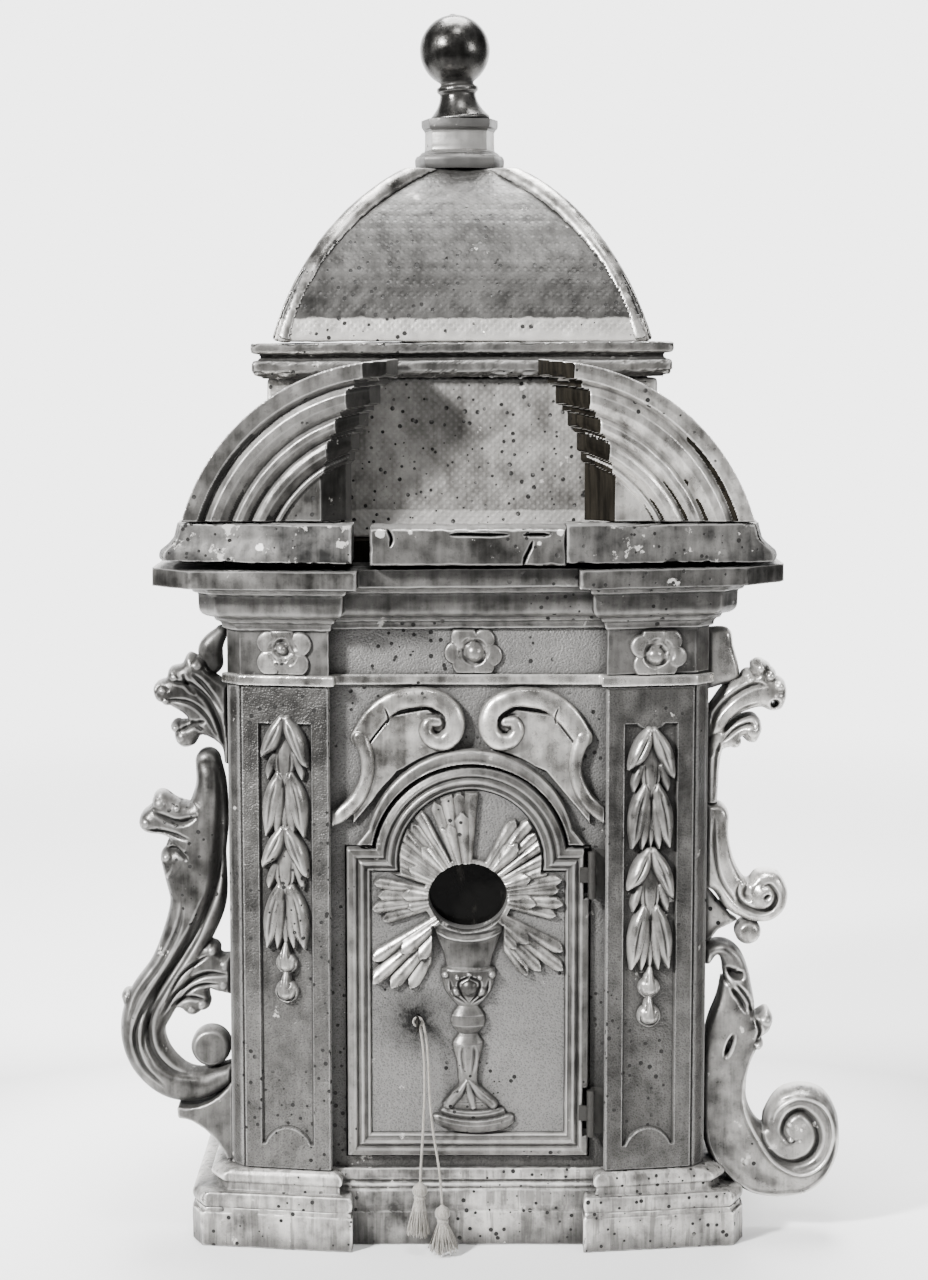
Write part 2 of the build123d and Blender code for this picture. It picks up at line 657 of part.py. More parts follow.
TAIL_LEFT = [(-36.4, -15.2, 174.6), (-33.6, -16.6, 159), (-32.6, -18, 131), (-33.4, -19.4, 109),
             (-34.4, -21, 89), (-35.8, -24.2, 68), (-36.1, -26.4, 56.5)]
TAIL_RIGHT = [(-34.4, -15.2, 178.5), (-31.4, -16.8, 167), (-29.8, -18.4, 146), (-29.2, -19.8, 123),
              (-27.6, -21.2, 102), (-25, -23.4, 85), (-22, -25.6, 68), (-20.4, -26.8, 51),
              (-19.6, -27.4, 38.8)]


def corner_radii(route):
    """Largest arc that each corner's two runs allow."""
    radii = []
    for before, at, after in zip(route, route[1:], route[2:]):
        arriving = Vector(at) - Vector(before)
        leaving = Vector(after) - Vector(at)
        half_turn = radians(arriving.get_angle(leaving)) / 2
        radii.append(0.45 * min(arriving.length, leaving.length) / tan(half_turn))
    return radii


def tassel(tip, crown, skirt, lean):
    """Turned head over a flaring skirt of threads, hung from the tail's end."""
    x, y, top = tip
    height = top - skirt
    head = top - 14
    with BuildPart() as hung:
        with BuildSketch(Plane((x, y, top), x_dir=(1, 0, 0), z_dir=(0, -1, 0))):
            with BuildLine():
                Polyline((0, 0), (2, 0), (4.6, -3.5), (5.4, -7.5), (4.2, head - top))
                Spline((4.2, head - top), (crown * 0.72, (head - top - height) / 2), (crown, -height))
                Polyline((crown, -height), (0, -height), (0, 0))
            make_face()
        revolve(axis=Axis((x, y, top), (0, 0, 1)))
    return Pos(x, y, top) * Rot(0, lean, 0) * Pos(-x, -y, -top) * hung.part


TASSELS = {"left": (TAIL_LEFT, 10, 14, 3), "right": (TAIL_RIGHT, 12.5, 2.5, -2)}
for name, (route, crown, skirt, lean) in TASSELS.items():
    radii = corner_radii(route)
    print("cord", name, "radii", [round(radius) for radius in radii])
    with BuildPart() as cord_tail:
        with BuildLine() as path:
            FilletPolyline(*route, radius=radii)
        start = path.wires()[0]
        with BuildSketch(Plane(start @ 0, z_dir=start % 0)):
            Circle(CORD / 2)
        sweep()
    length = start.length
    print("length", round(length, 1), "volume ratio", round(cord_tail.part.volume / (length * pi), 4))
    save(cord_tail, f"cord_tail_{name}")
    with BuildPart() as hung_tassel:
        add(tassel(route[-1], crown, skirt, lean))
    save(hung_tassel, f"tassel_{name}")

# ---------------------------------------------------------------- crown: board, fascia and pediments

CROWN_BACK = 285
with BuildPart() as crown_board:
    block((-200, 200), (0, CROWN_BACK), (CROWN_LOW, CROWN_LOW + CROWN_BOARD))
    for x in (-150, 150):
        with Locations((x, DOME_Y, CROWN_LOW)):
            Cylinder(DOWEL, 2 * CROWN_BOARD, mode=Mode.SUBTRACT)
save(crown_board, "crown_board")

with BuildPart() as crown_dowels:
    for x in (-150, 150):
        with BuildSketch(Plane((x, DOME_Y, SLAB_TOP - DOWEL_DEEP))):
            Circle(DOWEL)
        extrude(amount=DOWEL_DEEP + CROWN_BOARD)
save(crown_dowels, "crown_dowels")


def fascia_plan(side, reach):
    """Plan of a crown block: its outer end hollows in towards the top."""
    outer = 211.5 + 15 * reach
    inner = CENTRE_HALF if side > 0 else CENTRE_HALF + FASCIA_BREAK
    plan = [(inner, 0), (inner, -50), (outer, -27 - reach), (outer + 4, -8), (outer + 4, CROWN_BACK),
            (200, CROWN_BACK), (200, 0)]
    return mirrored(plan, side)


HOLLOW = [(CROWN_LOW + 1, 0.95), (CROWN_LOW + 5, 1), (CROWN_LOW + 10, 0.9), (CROWN_LOW + 15, 0.5),
          (CROWN_LOW + 20, 0.2), (CROWN_TOP, 0)]
for side, name in SIDES:
    with BuildPart() as crown_fascia:
        moulding(HOLLOW, partial(fascia_plan, side))
        backing = sorted((side * CENTRE_HALF, side * 200))
        block(backing, (0, DRUM_FRONT - 1), (CROWN_LOW + CROWN_BOARD, CROWN_TOP))
    save(crown_fascia, f"crown_fascia_{name}")

with BuildPart() as crown_fascia_centre:
    block((-CENTRE_HALF, CENTRE_HALF), (-48, 0), (CROWN_LOW + 1, CROWN_TOP - 2))
    fillet(crown_fascia_centre.edges().filter_by(Axis.X).group_by(Axis.Y)[0], 4)
save(crown_fascia_centre, "crown_fascia_centre")

PEDIMENT_X = 56
PEDIMENT_Z = 512
PEDIMENT_SLOPE = 23 / 139
# Each moulding of the pediment: outer radius, inner radius, how far back its face stands and
# where its inner end is.
BANDS = ((165, 152.5, 0, 77), (152.5, 147, 8, 84), (147, 133, 5, 90), (133, 129, 13, 95),
         (129, 119, 10, 99), (119, 116, 17, 103), (116, 103.5, 13, 106), (103.5, 101, 22, 109),
         (101, 97.5, 18, 109), (97.5, 0, 22, 112))
PEDIMENT_BACK = 8
RETURN_WIDE = 15
for side, name in SIDES:
    across = Vector(1, side * PEDIMENT_SLOPE, 0).normalized()
    out = Vector(side * PEDIMENT_SLOPE, -1, 0).normalized()
    ring_plane = Plane((side * PEDIMENT_X, -53, PEDIMENT_Z), x_dir=across, z_dir=out)
    with BuildPart() as pediment:
        for outer, inner, back, end in BANDS:
            with BuildSketch(ring_plane.offset(-80)) as ring:
                Circle(outer)
                if inner:
                    Circle(inner, mode=Mode.SUBTRACT)
            band = extrude(ring.sketch, amount=120, mode=Mode.PRIVATE)
            front = [(x, -53 + back + (x - PEDIMENT_X) * PEDIMENT_SLOPE) for x in (240, end)]
            plan = [(240, PEDIMENT_BACK), *front, (end - RETURN_WIDE, front[1][1] + 24),
                    (end - RETURN_WIDE, PEDIMENT_BACK)]
            prism = extrude(face(mirrored(plan, side), Plane.XY.offset(CROWN_TOP)), amount=150,
                            mode=Mode.PRIVATE)
            add(band & prism)
    save(pediment, f"pediment_{name}")

# ---------------------------------------------------------------- crown: drum, dome and finial

DRUM_BACK = 2 * DOME_Y - DRUM_FRONT
with BuildPart() as drum:
    block((CROWN_X - DRUM_HALF, CROWN_X + DRUM_HALF), (DRUM_FRONT, DRUM_BACK),
          (CROWN_LOW + CROWN_BOARD, DRUM_TOP))
    block((CROWN_X - DRUM_HALF + BOARD, CROWN_X + DRUM_HALF - BOARD),
          (DRUM_FRONT + BOARD, DRUM_BACK - BOARD), (CROWN_LOW, DRUM_TOP), Mode.SUBTRACT)
save(drum, "drum")


def dome_cornice_plan(reach):
    """Plan of the moulding round the dome's foot."""
    half = 147 + 11 * reach
    deep = DOME_Y - DRUM_FRONT + 11 * reach + 3
    return [(CROWN_X - half, DOME_Y - deep), (CROWN_X + half, DOME_Y - deep),
            (CROWN_X + half, DOME_Y + deep), (CROWN_X - half, DOME_Y + deep)]


DOME_CORNICE_LEVELS = [(DRUM_TOP, 0.2), (DRUM_TOP + 2, 0.2), (DRUM_TOP + 2, 0.7), (DRUM_TOP + 4, 0.9),
                       (DRUM_TOP + 12, 0.9), (DRUM_TOP + 12, 0.5), (DRUM_TOP + 19, 0.3), (DRUM_TOP + 19, 1),
                       (DOME_LOW, 1)]
with BuildPart() as dome_cornice:
    moulding(DOME_CORNICE_LEVELS, dome_cornice_plan)
    block((CROWN_X - 120, CROWN_X + 120), (DOME_Y - 100, DOME_Y + 100), (DRUM_TOP - 1, DOME_LOW + 1),
          Mode.SUBTRACT)
save(dome_cornice, "dome_cornice")

DOME_DROP = 45  # the arcs' centres lie this far below the dome's foot


def dome_arc(foot, top):
    """Centre offset and radius of the arc through the dome's foot and top half-widths."""
    high = (DOME_HEIGHT + DOME_DROP) ** 2
    offset = (high - DOME_DROP**2 + top**2 - foot**2) / (2 * (foot - top))
    return offset, hypot(foot + offset, DOME_DROP)


def dome_half(foot, top, height):
    """Half-width of the dome at a height above its foot."""
    offset, radius = dome_arc(foot, top)
    return sqrt(radius**2 - (height + DOME_DROP) ** 2) - offset


def dome_profile(plane, foot, top, thinner=0.0):
    """Upright section through the dome."""
    points = [(dome_half(foot, top, h) - thinner, h) for h in (0, DOME_HEIGHT * 0.55, DOME_HEIGHT)]
    flipped = [(-x, h) for x, h in reversed(points)]
    with BuildSketch(plane) as flat:
        with BuildLine():
            ThreePointArc(*points)
            Line(points[-1], flipped[0])
            ThreePointArc(*flipped)
            Line(flipped[-1], points[0])
        make_face()
    return flat.sketch


along_front = Plane((CROWN_X, DOME_Y, DOME_LOW), x_dir=(1, 0, 0), z_dir=(0, -1, 0))
along_side = Plane((CROWN_X, DOME_Y, DOME_LOW), x_dir=(0, 1, 0), z_dir=(1, 0, 0))


def dome_solid(thinner=0.0):
    """Four-sided dome, where two barrel vaults cross."""
    with BuildPart() as vault:
        extrude(dome_profile(along_front, DOME_HALF_X, LANTERN_HALF_X, thinner), amount=160, both=True)
        extrude(dome_profile(along_side, DOME_HALF_Y, LANTERN_HALF_Y, thinner), amount=180, both=True,
                mode=Mode.INTERSECT)
    return vault.part


dome_outside = dome_solid()
dome_shell = dome_outside - dome_solid(SHELL)
corners = [(-1, -1), (1, -1), (1, 1), (-1, 1)]
far = [(CROWN_X + a * DOME_HALF_X * 1.3, DOME_Y + b * DOME_HALF_Y * 1.3) for a, b in corners]


def dome_web(number):
    """One curved face of the dome, mitred to its neighbours on the diagonals."""
    slab([(CROWN_X, DOME_Y), far[number], far[(number + 1) % 4]], DOME_LOW, DOME_LOW + DOME_HEIGHT)


for names, numbers in (("dome_front", (0,)), ("dome_back", (2,)), ("dome_sides", (1, 3))):
    with BuildPart() as web:
        for number in numbers:
            dome_web(number)
        add(dome_shell, mode=Mode.INTERSECT)
    save(web, names)

RIB = 9.5
RIB_INSET = 7.5
with BuildPart() as dome_ribs:
    for a, b in corners:
        hip = [(CROWN_X + a * (dome_half(DOME_HALF_X, LANTERN_HALF_X, h) - RIB_INSET),
                DOME_Y + b * (dome_half(DOME_HALF_Y, LANTERN_HALF_Y, h) - RIB_INSET), DOME_LOW + h)
               for h in (0, 80, DOME_HEIGHT - 1)]
        with BuildLine() as line:
            ThreePointArc(*hip)
        with BuildSketch(Plane(line.line @ 0, z_dir=line.line % 0)):
            Circle(RIB)
        sweep(path=line.line)
    add(dome_outside, mode=Mode.SUBTRACT)
    for low, high in ((DOME_LOW - 20, DOME_LOW), (DOME_LOW + DOME_HEIGHT, DOME_LOW + DOME_HEIGHT + 20)):
        block((-200, 200), (0, 2 * DOME_Y), (low, high), Mode.SUBTRACT)
save(dome_ribs, "dome_ribs")

LANTERN_LOW = DOME_LOW + DOME_HEIGHT
LANTERN_X = -6.5


def lantern_plan(reach):
    """Square plan of the finial's pedestal, reach in millimetres from its middle."""
    return [(LANTERN_X - reach, DOME_Y - reach), (LANTERN_X + reach, DOME_Y - reach),
            (LANTERN_X + reach, DOME_Y + reach), (LANTERN_X - reach, DOME_Y + reach)]


# Base mould, fillet, dado and cap of the finial's pedestal: height above its foot and half-width.
LANTERN_PROFILE = ((0, 35), (3, 36.6), (8, 36.9), (11, 35.2), (11, 33), (14, 31), (14, 28.8), (30, 28.8),
                   (31, 30.5), (35, 31.5), (39, 31.5))
with BuildPart() as finial_pedestal:
    moulding([(LANTERN_LOW + up, half) for up, half in LANTERN_PROFILE], lantern_plan)
save(finial_pedestal, "finial_pedestal")

FINIAL_LOW = LANTERN_LOW + LANTERN_PROFILE[-1][0]
BALL = 27.7
BALL_Z = 54
with BuildPart() as finial:
    with BuildSketch(Plane.XZ):
        with BuildLine():
            Polyline((0, 0), (24, 0), (24, 2), (22.5, 3.5))
            Spline((22.5, 3.5), (16.8, 11), (13.8, 20.5))
            Polyline((13.8, 20.5), (16.4, 22.5), (16.4, 25.5), (13, 27), (13, 32), (0, 32), (0, 0))
        make_face()
    revolve(axis=Axis.Z)
    with Locations((0, 0, BALL_Z)):
        Sphere(BALL)
    with BuildSketch(Plane.XY.offset(BALL_Z + BALL - 1)):
        Circle(2)
    extrude(amount=2)
leaning = Pos(LANTERN_X, DOME_Y, FINIAL_LOW) * Rot(0, -FINIAL_LEAN, 0) * finial.part
with BuildPart() as leaning_finial:
    add(leaning)
    block((LANTERN_X - 40, LANTERN_X + 40), (DOME_Y - 40, DOME_Y + 40), (FINIAL_LOW - 20, FINIAL_LOW),
          Mode.SUBTRACT)
save(leaning_finial, "finial")
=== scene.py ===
"""Looks of the carved and leafed altar tabernacle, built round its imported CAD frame."""

import json
from math import atan2, cos, pi, radians, sin, tau

import bmesh
import bpy
import numpy as np
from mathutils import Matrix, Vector


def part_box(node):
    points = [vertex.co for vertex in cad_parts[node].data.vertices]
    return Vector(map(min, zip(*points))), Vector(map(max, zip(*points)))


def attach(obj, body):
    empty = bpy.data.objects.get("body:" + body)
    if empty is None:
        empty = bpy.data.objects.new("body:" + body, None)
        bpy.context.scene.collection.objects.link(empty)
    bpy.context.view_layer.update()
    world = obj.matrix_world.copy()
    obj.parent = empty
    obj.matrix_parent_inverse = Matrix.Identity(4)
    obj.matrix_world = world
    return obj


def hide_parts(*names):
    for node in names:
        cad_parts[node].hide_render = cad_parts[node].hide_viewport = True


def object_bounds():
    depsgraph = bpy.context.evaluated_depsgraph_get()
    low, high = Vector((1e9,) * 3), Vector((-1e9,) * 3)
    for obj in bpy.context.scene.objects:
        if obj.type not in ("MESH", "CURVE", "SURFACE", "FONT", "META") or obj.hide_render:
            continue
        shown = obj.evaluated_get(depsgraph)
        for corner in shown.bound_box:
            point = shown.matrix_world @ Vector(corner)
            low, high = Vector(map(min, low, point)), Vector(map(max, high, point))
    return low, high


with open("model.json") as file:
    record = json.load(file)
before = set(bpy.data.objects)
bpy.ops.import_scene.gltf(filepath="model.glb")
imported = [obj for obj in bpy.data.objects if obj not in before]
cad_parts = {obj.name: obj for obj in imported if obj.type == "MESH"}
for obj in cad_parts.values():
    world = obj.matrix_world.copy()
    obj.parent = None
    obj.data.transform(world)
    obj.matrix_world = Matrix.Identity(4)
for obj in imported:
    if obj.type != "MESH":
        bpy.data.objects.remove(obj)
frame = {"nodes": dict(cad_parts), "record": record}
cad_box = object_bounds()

MM = 0.001
SCENE = bpy.context.scene
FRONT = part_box("front_board")[0][1]  # the front board's plane; carving is drawn from it in millimetres
RECORD = frame["record"]
BODY = {node: body for body, nodes in RECORD["behaviour"]["bodies"].items() for node in nodes}
HANDS = ((-1, "left"), (1, "right"))

# The cabinet's driving sizes in millimetres, as in the CAD.
HALF_WIDTH = 182
DEPTH = 290
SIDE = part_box("side_panel_right")[1][0] / MM
SIDE_IN = 164
CORNER = 12
PILASTER_IN, PILASTER_OUT = 104, 171
PEDESTAL_TOP = 60
ASTRAGAL_LOW, ASTRAGAL_TOP = 434, 442
FRIEZE_TOP = 476.5
SLAB_LOW, SLAB_TOP = 510, 524
CROWN_TOP = 557
CROWN_X, DOME_Y = -4.5, 150

# The door: its half-width, its foot and shoulder, and its arch's middle and radius.
DOOR_HALF, DOOR_LOW, DOOR_SHOULDER = 92.2, 69.3, 310
ARCH_X, ARCH_Z, ARCH = 2, 299, 73.5
FIELD_INSET = 19.6
HINGE_HEIGHTS = (105, 290)
OCULUS_X, OCULUS_Z = 0, 272
OCULUS_HALF = (29.5, 25.5)


def at(x, y, z):
    """A place in metres from millimetres, with y measured from the front board's plane."""
    return Vector((x * MM, FRONT + y * MM, z * MM))


# ---------------------------------------------------------------- camera

camera = bpy.data.objects.new("camera", bpy.data.cameras.new("camera"))
camera.data.lens = 71.75
camera.data.sensor_width = 36
camera.location = at(-3, -1900, 693)
camera.rotation_euler = (radians(83.23), 0, 0)
SCENE.collection.objects.link(camera)
SCENE.camera = camera

# ---------------------------------------------------------------- node helpers


class Shader:
    """A material's node tree, written as short calls that each add one node."""

    def __init__(self, name):
        self.material = bpy.data.materials.new(name)
        self.material.use_nodes = True
        self.tree = self.material.node_tree
        self.tree.nodes.clear()
        self.coords = self.add("ShaderNodeTexCoord").outputs["Object"]

    def add(self, kind, settings=(), **inputs):
        node = self.tree.nodes.new(kind)
        for key, value in dict(settings).items():
            setattr(node, key, value)
        for key, value in inputs.items():
            numbered = key[0] == "i" and key[1:].isdigit()
            self.put(node, int(key[1:]) if numbered else key.replace("_", " "), value)
        return node

    def put(self, node, key, value):
        socket = node.inputs[key]
        if isinstance(value, bpy.types.NodeSocket):
            self.tree.links.new(value, socket)
        else:
            socket.default_value = value

    def noise(self, scale, detail=4.0, roughness=0.55, vector=None):
        node = self.add("ShaderNodeTexNoise", Vector=vector or self.coords, Scale=scale, Detail=detail,
                        Roughness=roughness)
        return node.outputs["Fac"]

    def stretched(self, x, y, z, turn=(0, 0, 0)):
        node = self.add("ShaderNodeMapping", Vector=self.coords, Scale=(x, y, z), Rotation=turn)
        return node.outputs["Vector"]

    def cells(self, scale, vector=None, randomness=1.0):
        return self.add("ShaderNodeTexVoronoi", Vector=vector or self.coords, Scale=scale,
                        Randomness=randomness)

    def step(self, value, low, high, start=0.0, end=1.0):
        """Smooth step of a value from one number to another."""
        node = self.add("ShaderNodeMapRange", {"interpolation_type": "SMOOTHSTEP"}, Value=value, i1=low,
                        i2=high, i3=start, i4=end)
        return node.outputs["Result"]

    def math(self, kind, a, b=0.0):
        return self.add("ShaderNodeMath", {"operation": kind}, i0=a, i1=b).outputs[0]

    def plus(self, a, b, share):
        """One value and a share of another."""
        return self.math("ADD", a, self.math("MULTIPLY", b, share))

    def less(self, a, b, share):
        return self.math("SUBTRACT", a, self.math("MULTIPLY", b, share))

    def away(self, place):
        """Distance from a place."""
        node = self.add("ShaderNodeVectorMath", {"operation": "DISTANCE"}, i0=self.coords, i1=place)
        return node.outputs["Value"]

    def bend(self):
        """How convex the surface is here."""
        return self.add("ShaderNodeNewGeometry").outputs["Pointiness"]

    def place(self):
        return self.add("ShaderNodeSeparateXYZ", i0=self.coords).outputs

    def mix(self, factor, a, b):
        node = self.add("ShaderNodeMix", {"data_type": "RGBA"}, i0=factor)
        self.put(node, 6, a)
        self.put(node, 7, b)
        return node.outputs[2]

    def bump(self, height, distance, strength=1.0, normal=None):
        node = self.add("ShaderNodeBump", Height=height, Distance=distance, Strength=strength)
        if normal:
            self.put(node, "Normal", normal)
        return node.outputs["Normal"]

    def surface(self, **inputs):
        shader = self.add("ShaderNodeBsdfPrincipled", **inputs)
        output = self.add("ShaderNodeOutputMaterial")
        self.tree.links.new(shader.outputs[0], output.inputs[0])
        return self.material


def grey(value, warmth=0.04):
    """A near-neutral colour, slightly warm."""
    return (value * (1 + warmth), value, value * (1 - 1.6 * warmth), 1)


# ---------------------------------------------------------------- materials


def worm_holes(shader, crowd, scale=92, radius=0.12):
    """Round dark flight holes: 1 in a hole, 0 elsewhere. They cluster where a noise is past crowd."""
    faces = shader.add("ShaderNodeNewGeometry").outputs["True Normal"]
    normal = shader.add("ShaderNodeSeparateXYZ", i0=faces)
    place = shader.place()
    on_top = shader.step(shader.math("ABSOLUTE", normal.outputs["Z"]), 0.7, 0.71)
    on_front = shader.step(shader.math("ABSOLUTE", normal.outputs["Y"]), 0.6, 0.61)
    facing_x = shader.math("SUBTRACT", 1.0, shader.math("MAXIMUM", on_front, on_top))
    across = shader.plus(place["X"], facing_x, shader.math("SUBTRACT", place["Y"], place["X"]))
    rise = shader.plus(place["Z"], on_top, shader.math("SUBTRACT", place["Y"], place["Z"]))
    flat = shader.add("ShaderNodeCombineXYZ", i0=across, i1=rise).outputs[0]
    dots = shader.add("ShaderNodeTexVoronoi", {"voronoi_dimensions": "2D"}, Vector=flat, Scale=scale)
    size = shader.step(shader.noise(45, 2), 0.35, 0.65, radius * 0.3, radius * 1.3)
    hole = shader.step(shader.math("SUBTRACT", dots.outputs["Distance"], size), 0.015, -0.01)
    return shader.math("MULTIPLY", hole, shader.step(shader.noise(13, 3), crowd, crowd + 0.03))


def leafed(name, light=0.5, dark=0.2, ground="plain", gloss=0.36, metal=0.7, gesso=0.66, crowd=0.5,
           soot_and_shade=0.9, rub_and_highlight=0.6, streak=0.0, flake=38, stain=None, band=None, pale=()):
    """Worn metal leaf over gesso: mottled, darkened in the hollows by grime and painted shade, and lightened
    on the edges by rubbing and a painted highlight.

    Gesso and crowd are the noise levels past which the gesso shows and the worm holes come: lower
    means more. Stain is (place, size), pale is spots of (place, radius), and band is the heights
    below which the leaf is painted paler, and above which it is paler in patches.
    """
    shader = Shader(name)
    broad = shader.noise(11, 5, 0.6)
    middle = shader.noise(60, 6, 0.65)
    fine = shader.noise(520, 3, 0.6)
    grain = shader.noise(1, 3, 0.55, shader.stretched(160, 160, 14))
    mottle = shader.plus(shader.math("MULTIPLY", broad, 0.45), middle, 0.35)
    mottle = shader.plus(mottle, grain, 0.2)
    colour = shader.mix(shader.step(mottle, 0.36, 0.64), grey(dark, 0.05), grey(light, 0.03))
    speck = shader.noise(240, 5, 0.7)
    colour = shader.mix(shader.step(speck, 0.5, 0.68, 0.0, 0.42), colour, grey(dark * 0.5, 0.08))
    colour = shader.mix(shader.step(grain, 0.5, 0.62, 0.0, streak), colour, grey(dark, 0.08))
    bend = shader.bend()
    # Painted highlight: convex edges are lightened past the leaf's own tone, partly as rubbed wear and partly
    # as the glint of the light.
    edge = shader.step(shader.plus(bend, middle, 0.03), 0.522, 0.56)
    colour = shader.mix(shader.math("MULTIPLY", edge, rub_and_highlight), colour, grey(min(1, light * 2.2), 0.02))
    # Painted shade: hollows found by ambient occlusion, and concave places, are darkened to near black, both
    # as grime and as the shade that falls there.
    open_air = shader.add("ShaderNodeAmbientOcclusion", {"samples": 10}, Distance=0.022).outputs["AO"]
    grime_and_shade = shader.step(open_air, 0.95, 0.42)
    grime_and_shade = shader.math("MULTIPLY", grime_and_shade, shader.step(middle, 0.2, 0.6, 0.6, 1.0))
    grime_and_shade = shader.math("MAXIMUM", grime_and_shade, shader.step(bend, 0.492, 0.455))
    colour = shader.mix(shader.math("MULTIPLY", grime_and_shade, soot_and_shade), colour, grey(0.006, 0.12))
    bare = shader.step(shader.noise(flake, 5, 0.7), gesso, gesso + 0.035)
    colour = shader.mix(shader.math("MULTIPLY", bare, 0.8), colour, grey(0.5, 0.03))
    # Paler below the band, and in patches above it; on the drum the paler foot is painted light.
    if band:
        high = shader.plus(shader.place()["Z"], middle, 0.008)
        colour = shader.mix(shader.step(high, band[0] + 0.002, band[0]), colour, grey(0.45, 0.03))
        top = shader.step(high, band[1], band[1] + 0.004)
        top = shader.math("MULTIPLY", top, shader.step(broad, 0.5, 0.6))
        colour = shader.mix(shader.math("MULTIPLY", top, 0.8), colour, grey(0.5, 0.03))
    if stain:
        middle_of_stain, size = stain
        ragged = shader.plus(shader.plus(shader.away(middle_of_stain), middle, 0.03), speck, 0.012)
        halo = shader.step(ragged, size * 1.7, size * 0.8, 0.0, 0.6)
        colour = shader.mix(halo, colour, grey(dark * 0.4, 0.1))
        colour = shader.mix(shader.step(ragged, size, size * 0.7), colour, grey(0.003, 0.1))
    for place, radius in pale:
        spot = shader.plus(shader.away(place), speck, 0.004)
        colour = shader.mix(shader.step(spot, radius + 0.002, radius + 0.001), colour, grey(0.85, 0.02))
    hole = worm_holes(shader, crowd=crowd)
    colour = shader.mix(hole, colour, grey(0.006, 0.1))
    relief = shader.plus(shader.math("MULTIPLY", middle, 0.5), fine, 0.16)
    relief = shader.plus(relief, grain, 0.22)
    relief = shader.less(relief, hole, 2.5)
    if ground == "stipple":
        punched = shader.cells(640).outputs["Distance"]
        relief = shader.plus(relief, punched, 0.9)
        colour = shader.mix(shader.step(punched, 0.5, 0.1, 0.0, 0.5), colour, grey(dark * 0.3, 0.06))
    if ground == "diaper":
        lattice = shader.stretched(1, 1, 1, (0, radians(45), 0))
        punched = shader.cells(230, lattice, 0.15).outputs["Distance"]
        relief = shader.less(relief, shader.step(punched, 0.5, 0.1), 0.25)
        colour = shader.mix(shader.step(punched, 0.42, 0.1, 0.0, 0.16), colour, grey(light * 1.4, 0.02))
    normal = shader.bump(relief, 0.0007, 0.75)
    matt = shader.math("MAXIMUM", shader.math("MAXIMUM", grime_and_shade, bare), hole)
    rough = shader.math("ADD", shader.step(middle, 0.3, 0.75, gloss - 0.06, gloss + 0.16),
                        shader.math("MULTIPLY", matt, 0.35))
    metallic = shader.math("MULTIPLY", shader.math("SUBTRACT", 1.0, matt), metal)
    return shader.surface(Base_Color=colour, Metallic=metallic, Roughness=rough, Normal=normal)


def bare_wood(name, light=0.2, dark=0.08, along=(30, 30, 2.2), shine=0.4, board=None):
    """Old softwood with grain, stains and worm holes, and dark joints where it is several boards wide."""
    shader = Shader(name)
    grain = shader.noise(7, 6, 0.6, shader.stretched(*along))
    stain = shader.noise(8, 4, 0.6)
    hole = worm_holes(shader, crowd=0.46)
    colour = shader.mix(shader.step(grain, 0.35, 0.65), grey(dark, 0.2), grey(light, 0.16))
    colour = shader.mix(shader.step(stain, 0.55, 0.8, 0.0, 0.5), colour, grey(dark * 0.5, 0.15))
    colour = shader.mix(hole, colour, grey(0.005, 0.1))
    relief = shader.less(grain, hole, 2.0)
    if board:
        across = shader.plus(shader.place()["X"], stain, 0.004)
        joint = shader.step(shader.math("PINGPONG", across, board / 2), 0.0012, 0.0003)
        boards = shader.math("DIVIDE", shader.math("ADD", across, board / 2), board)
        number = shader.add("ShaderNodeTexWhiteNoise", {"noise_dimensions": "1D"},
                            W=shader.math("FLOOR", boards))
        colour = shader.mix(shader.math("MULTIPLY", number.outputs["Value"], 0.45), colour, grey(dark, 0.2))
        colour = shader.mix(joint, colour, grey(0.004, 0.1))
        relief = shader.less(relief, joint, 3.0)
    return shader.surface(Base_Color=colour, Roughness=shader.step(grain, 0.3, 0.7, 0.62, 0.85),
                          Normal=shader.bump(relief, 0.0006, 0.6), Specular_IOR_Level=shine)


def old_iron(name):
    """Dark forged iron, pitted and rubbed on its edges."""
    shader = Shader(name)
    pits = shader.noise(420, 5, 0.7)
    edge = shader.step(shader.bend(), 0.51, 0.58)
    colour = shader.mix(shader.step(pits, 0.4, 0.62), grey(0.008, 0.14), grey(0.025, 0.05))
    colour = shader.mix(shader.math("MULTIPLY", edge, 0.4), colour, grey(0.12, 0.03))
    return shader.surface(Base_Color=colour, Metallic=0.85, Roughness=shader.step(pits, 0.3, 0.7, 0.42, 0.7),
                          Normal=shader.bump(pits, 0.0003, 0.6))


def old_glass(name):
    """Thick old pane, nearly black, with smears of dust on it."""
    shader = Shader(name)
    ripple = shader.noise(30, 3, 0.5)
    dust = shader.noise(70, 6, 0.7, shader.stretched(1, 1, 0.4))
    colour = shader.mix(shader.step(dust, 0.52, 0.78), grey(0.003, 0.05), grey(0.04, 0.08))
    return shader.surface(Base_Color=colour, Roughness=shader.step(dust, 0.4, 0.8, 0.12, 0.4),
                          Normal=shader.bump(ripple, 0.002, 0.35), Specular_IOR_Level=0.12)


def silk(name, light=0.55):
    """Faded silk thread with fine strands along it."""
    shader = Shader(name)
    strands = shader.noise(1, 4, 0.6, shader.stretched(2600, 2600, 130))
    fade = shader.noise(90, 4, 0.6)
    colour = shader.mix(shader.step(strands, 0.35, 0.65), grey(light * 0.45, 0.08), grey(light, 0.05))
    colour = shader.mix(shader.step(fade, 0.45, 0.75, 0.0, 0.4), colour, grey(light * 0.6, 0.1))
    return shader.surface(Base_Color=colour, Roughness=0.62, Sheen_Weight=0.5, Sheen_Roughness=0.4,
                          Normal=shader.bump(strands, 0.0003, 0.6))


# Where pale chips lie on the crown's middle block, and their radius.
CHIPS = ((-64, 551, 0.004), (-42, 552, 0.002), (52, 544, 0.002), (67, 552, 0.003))

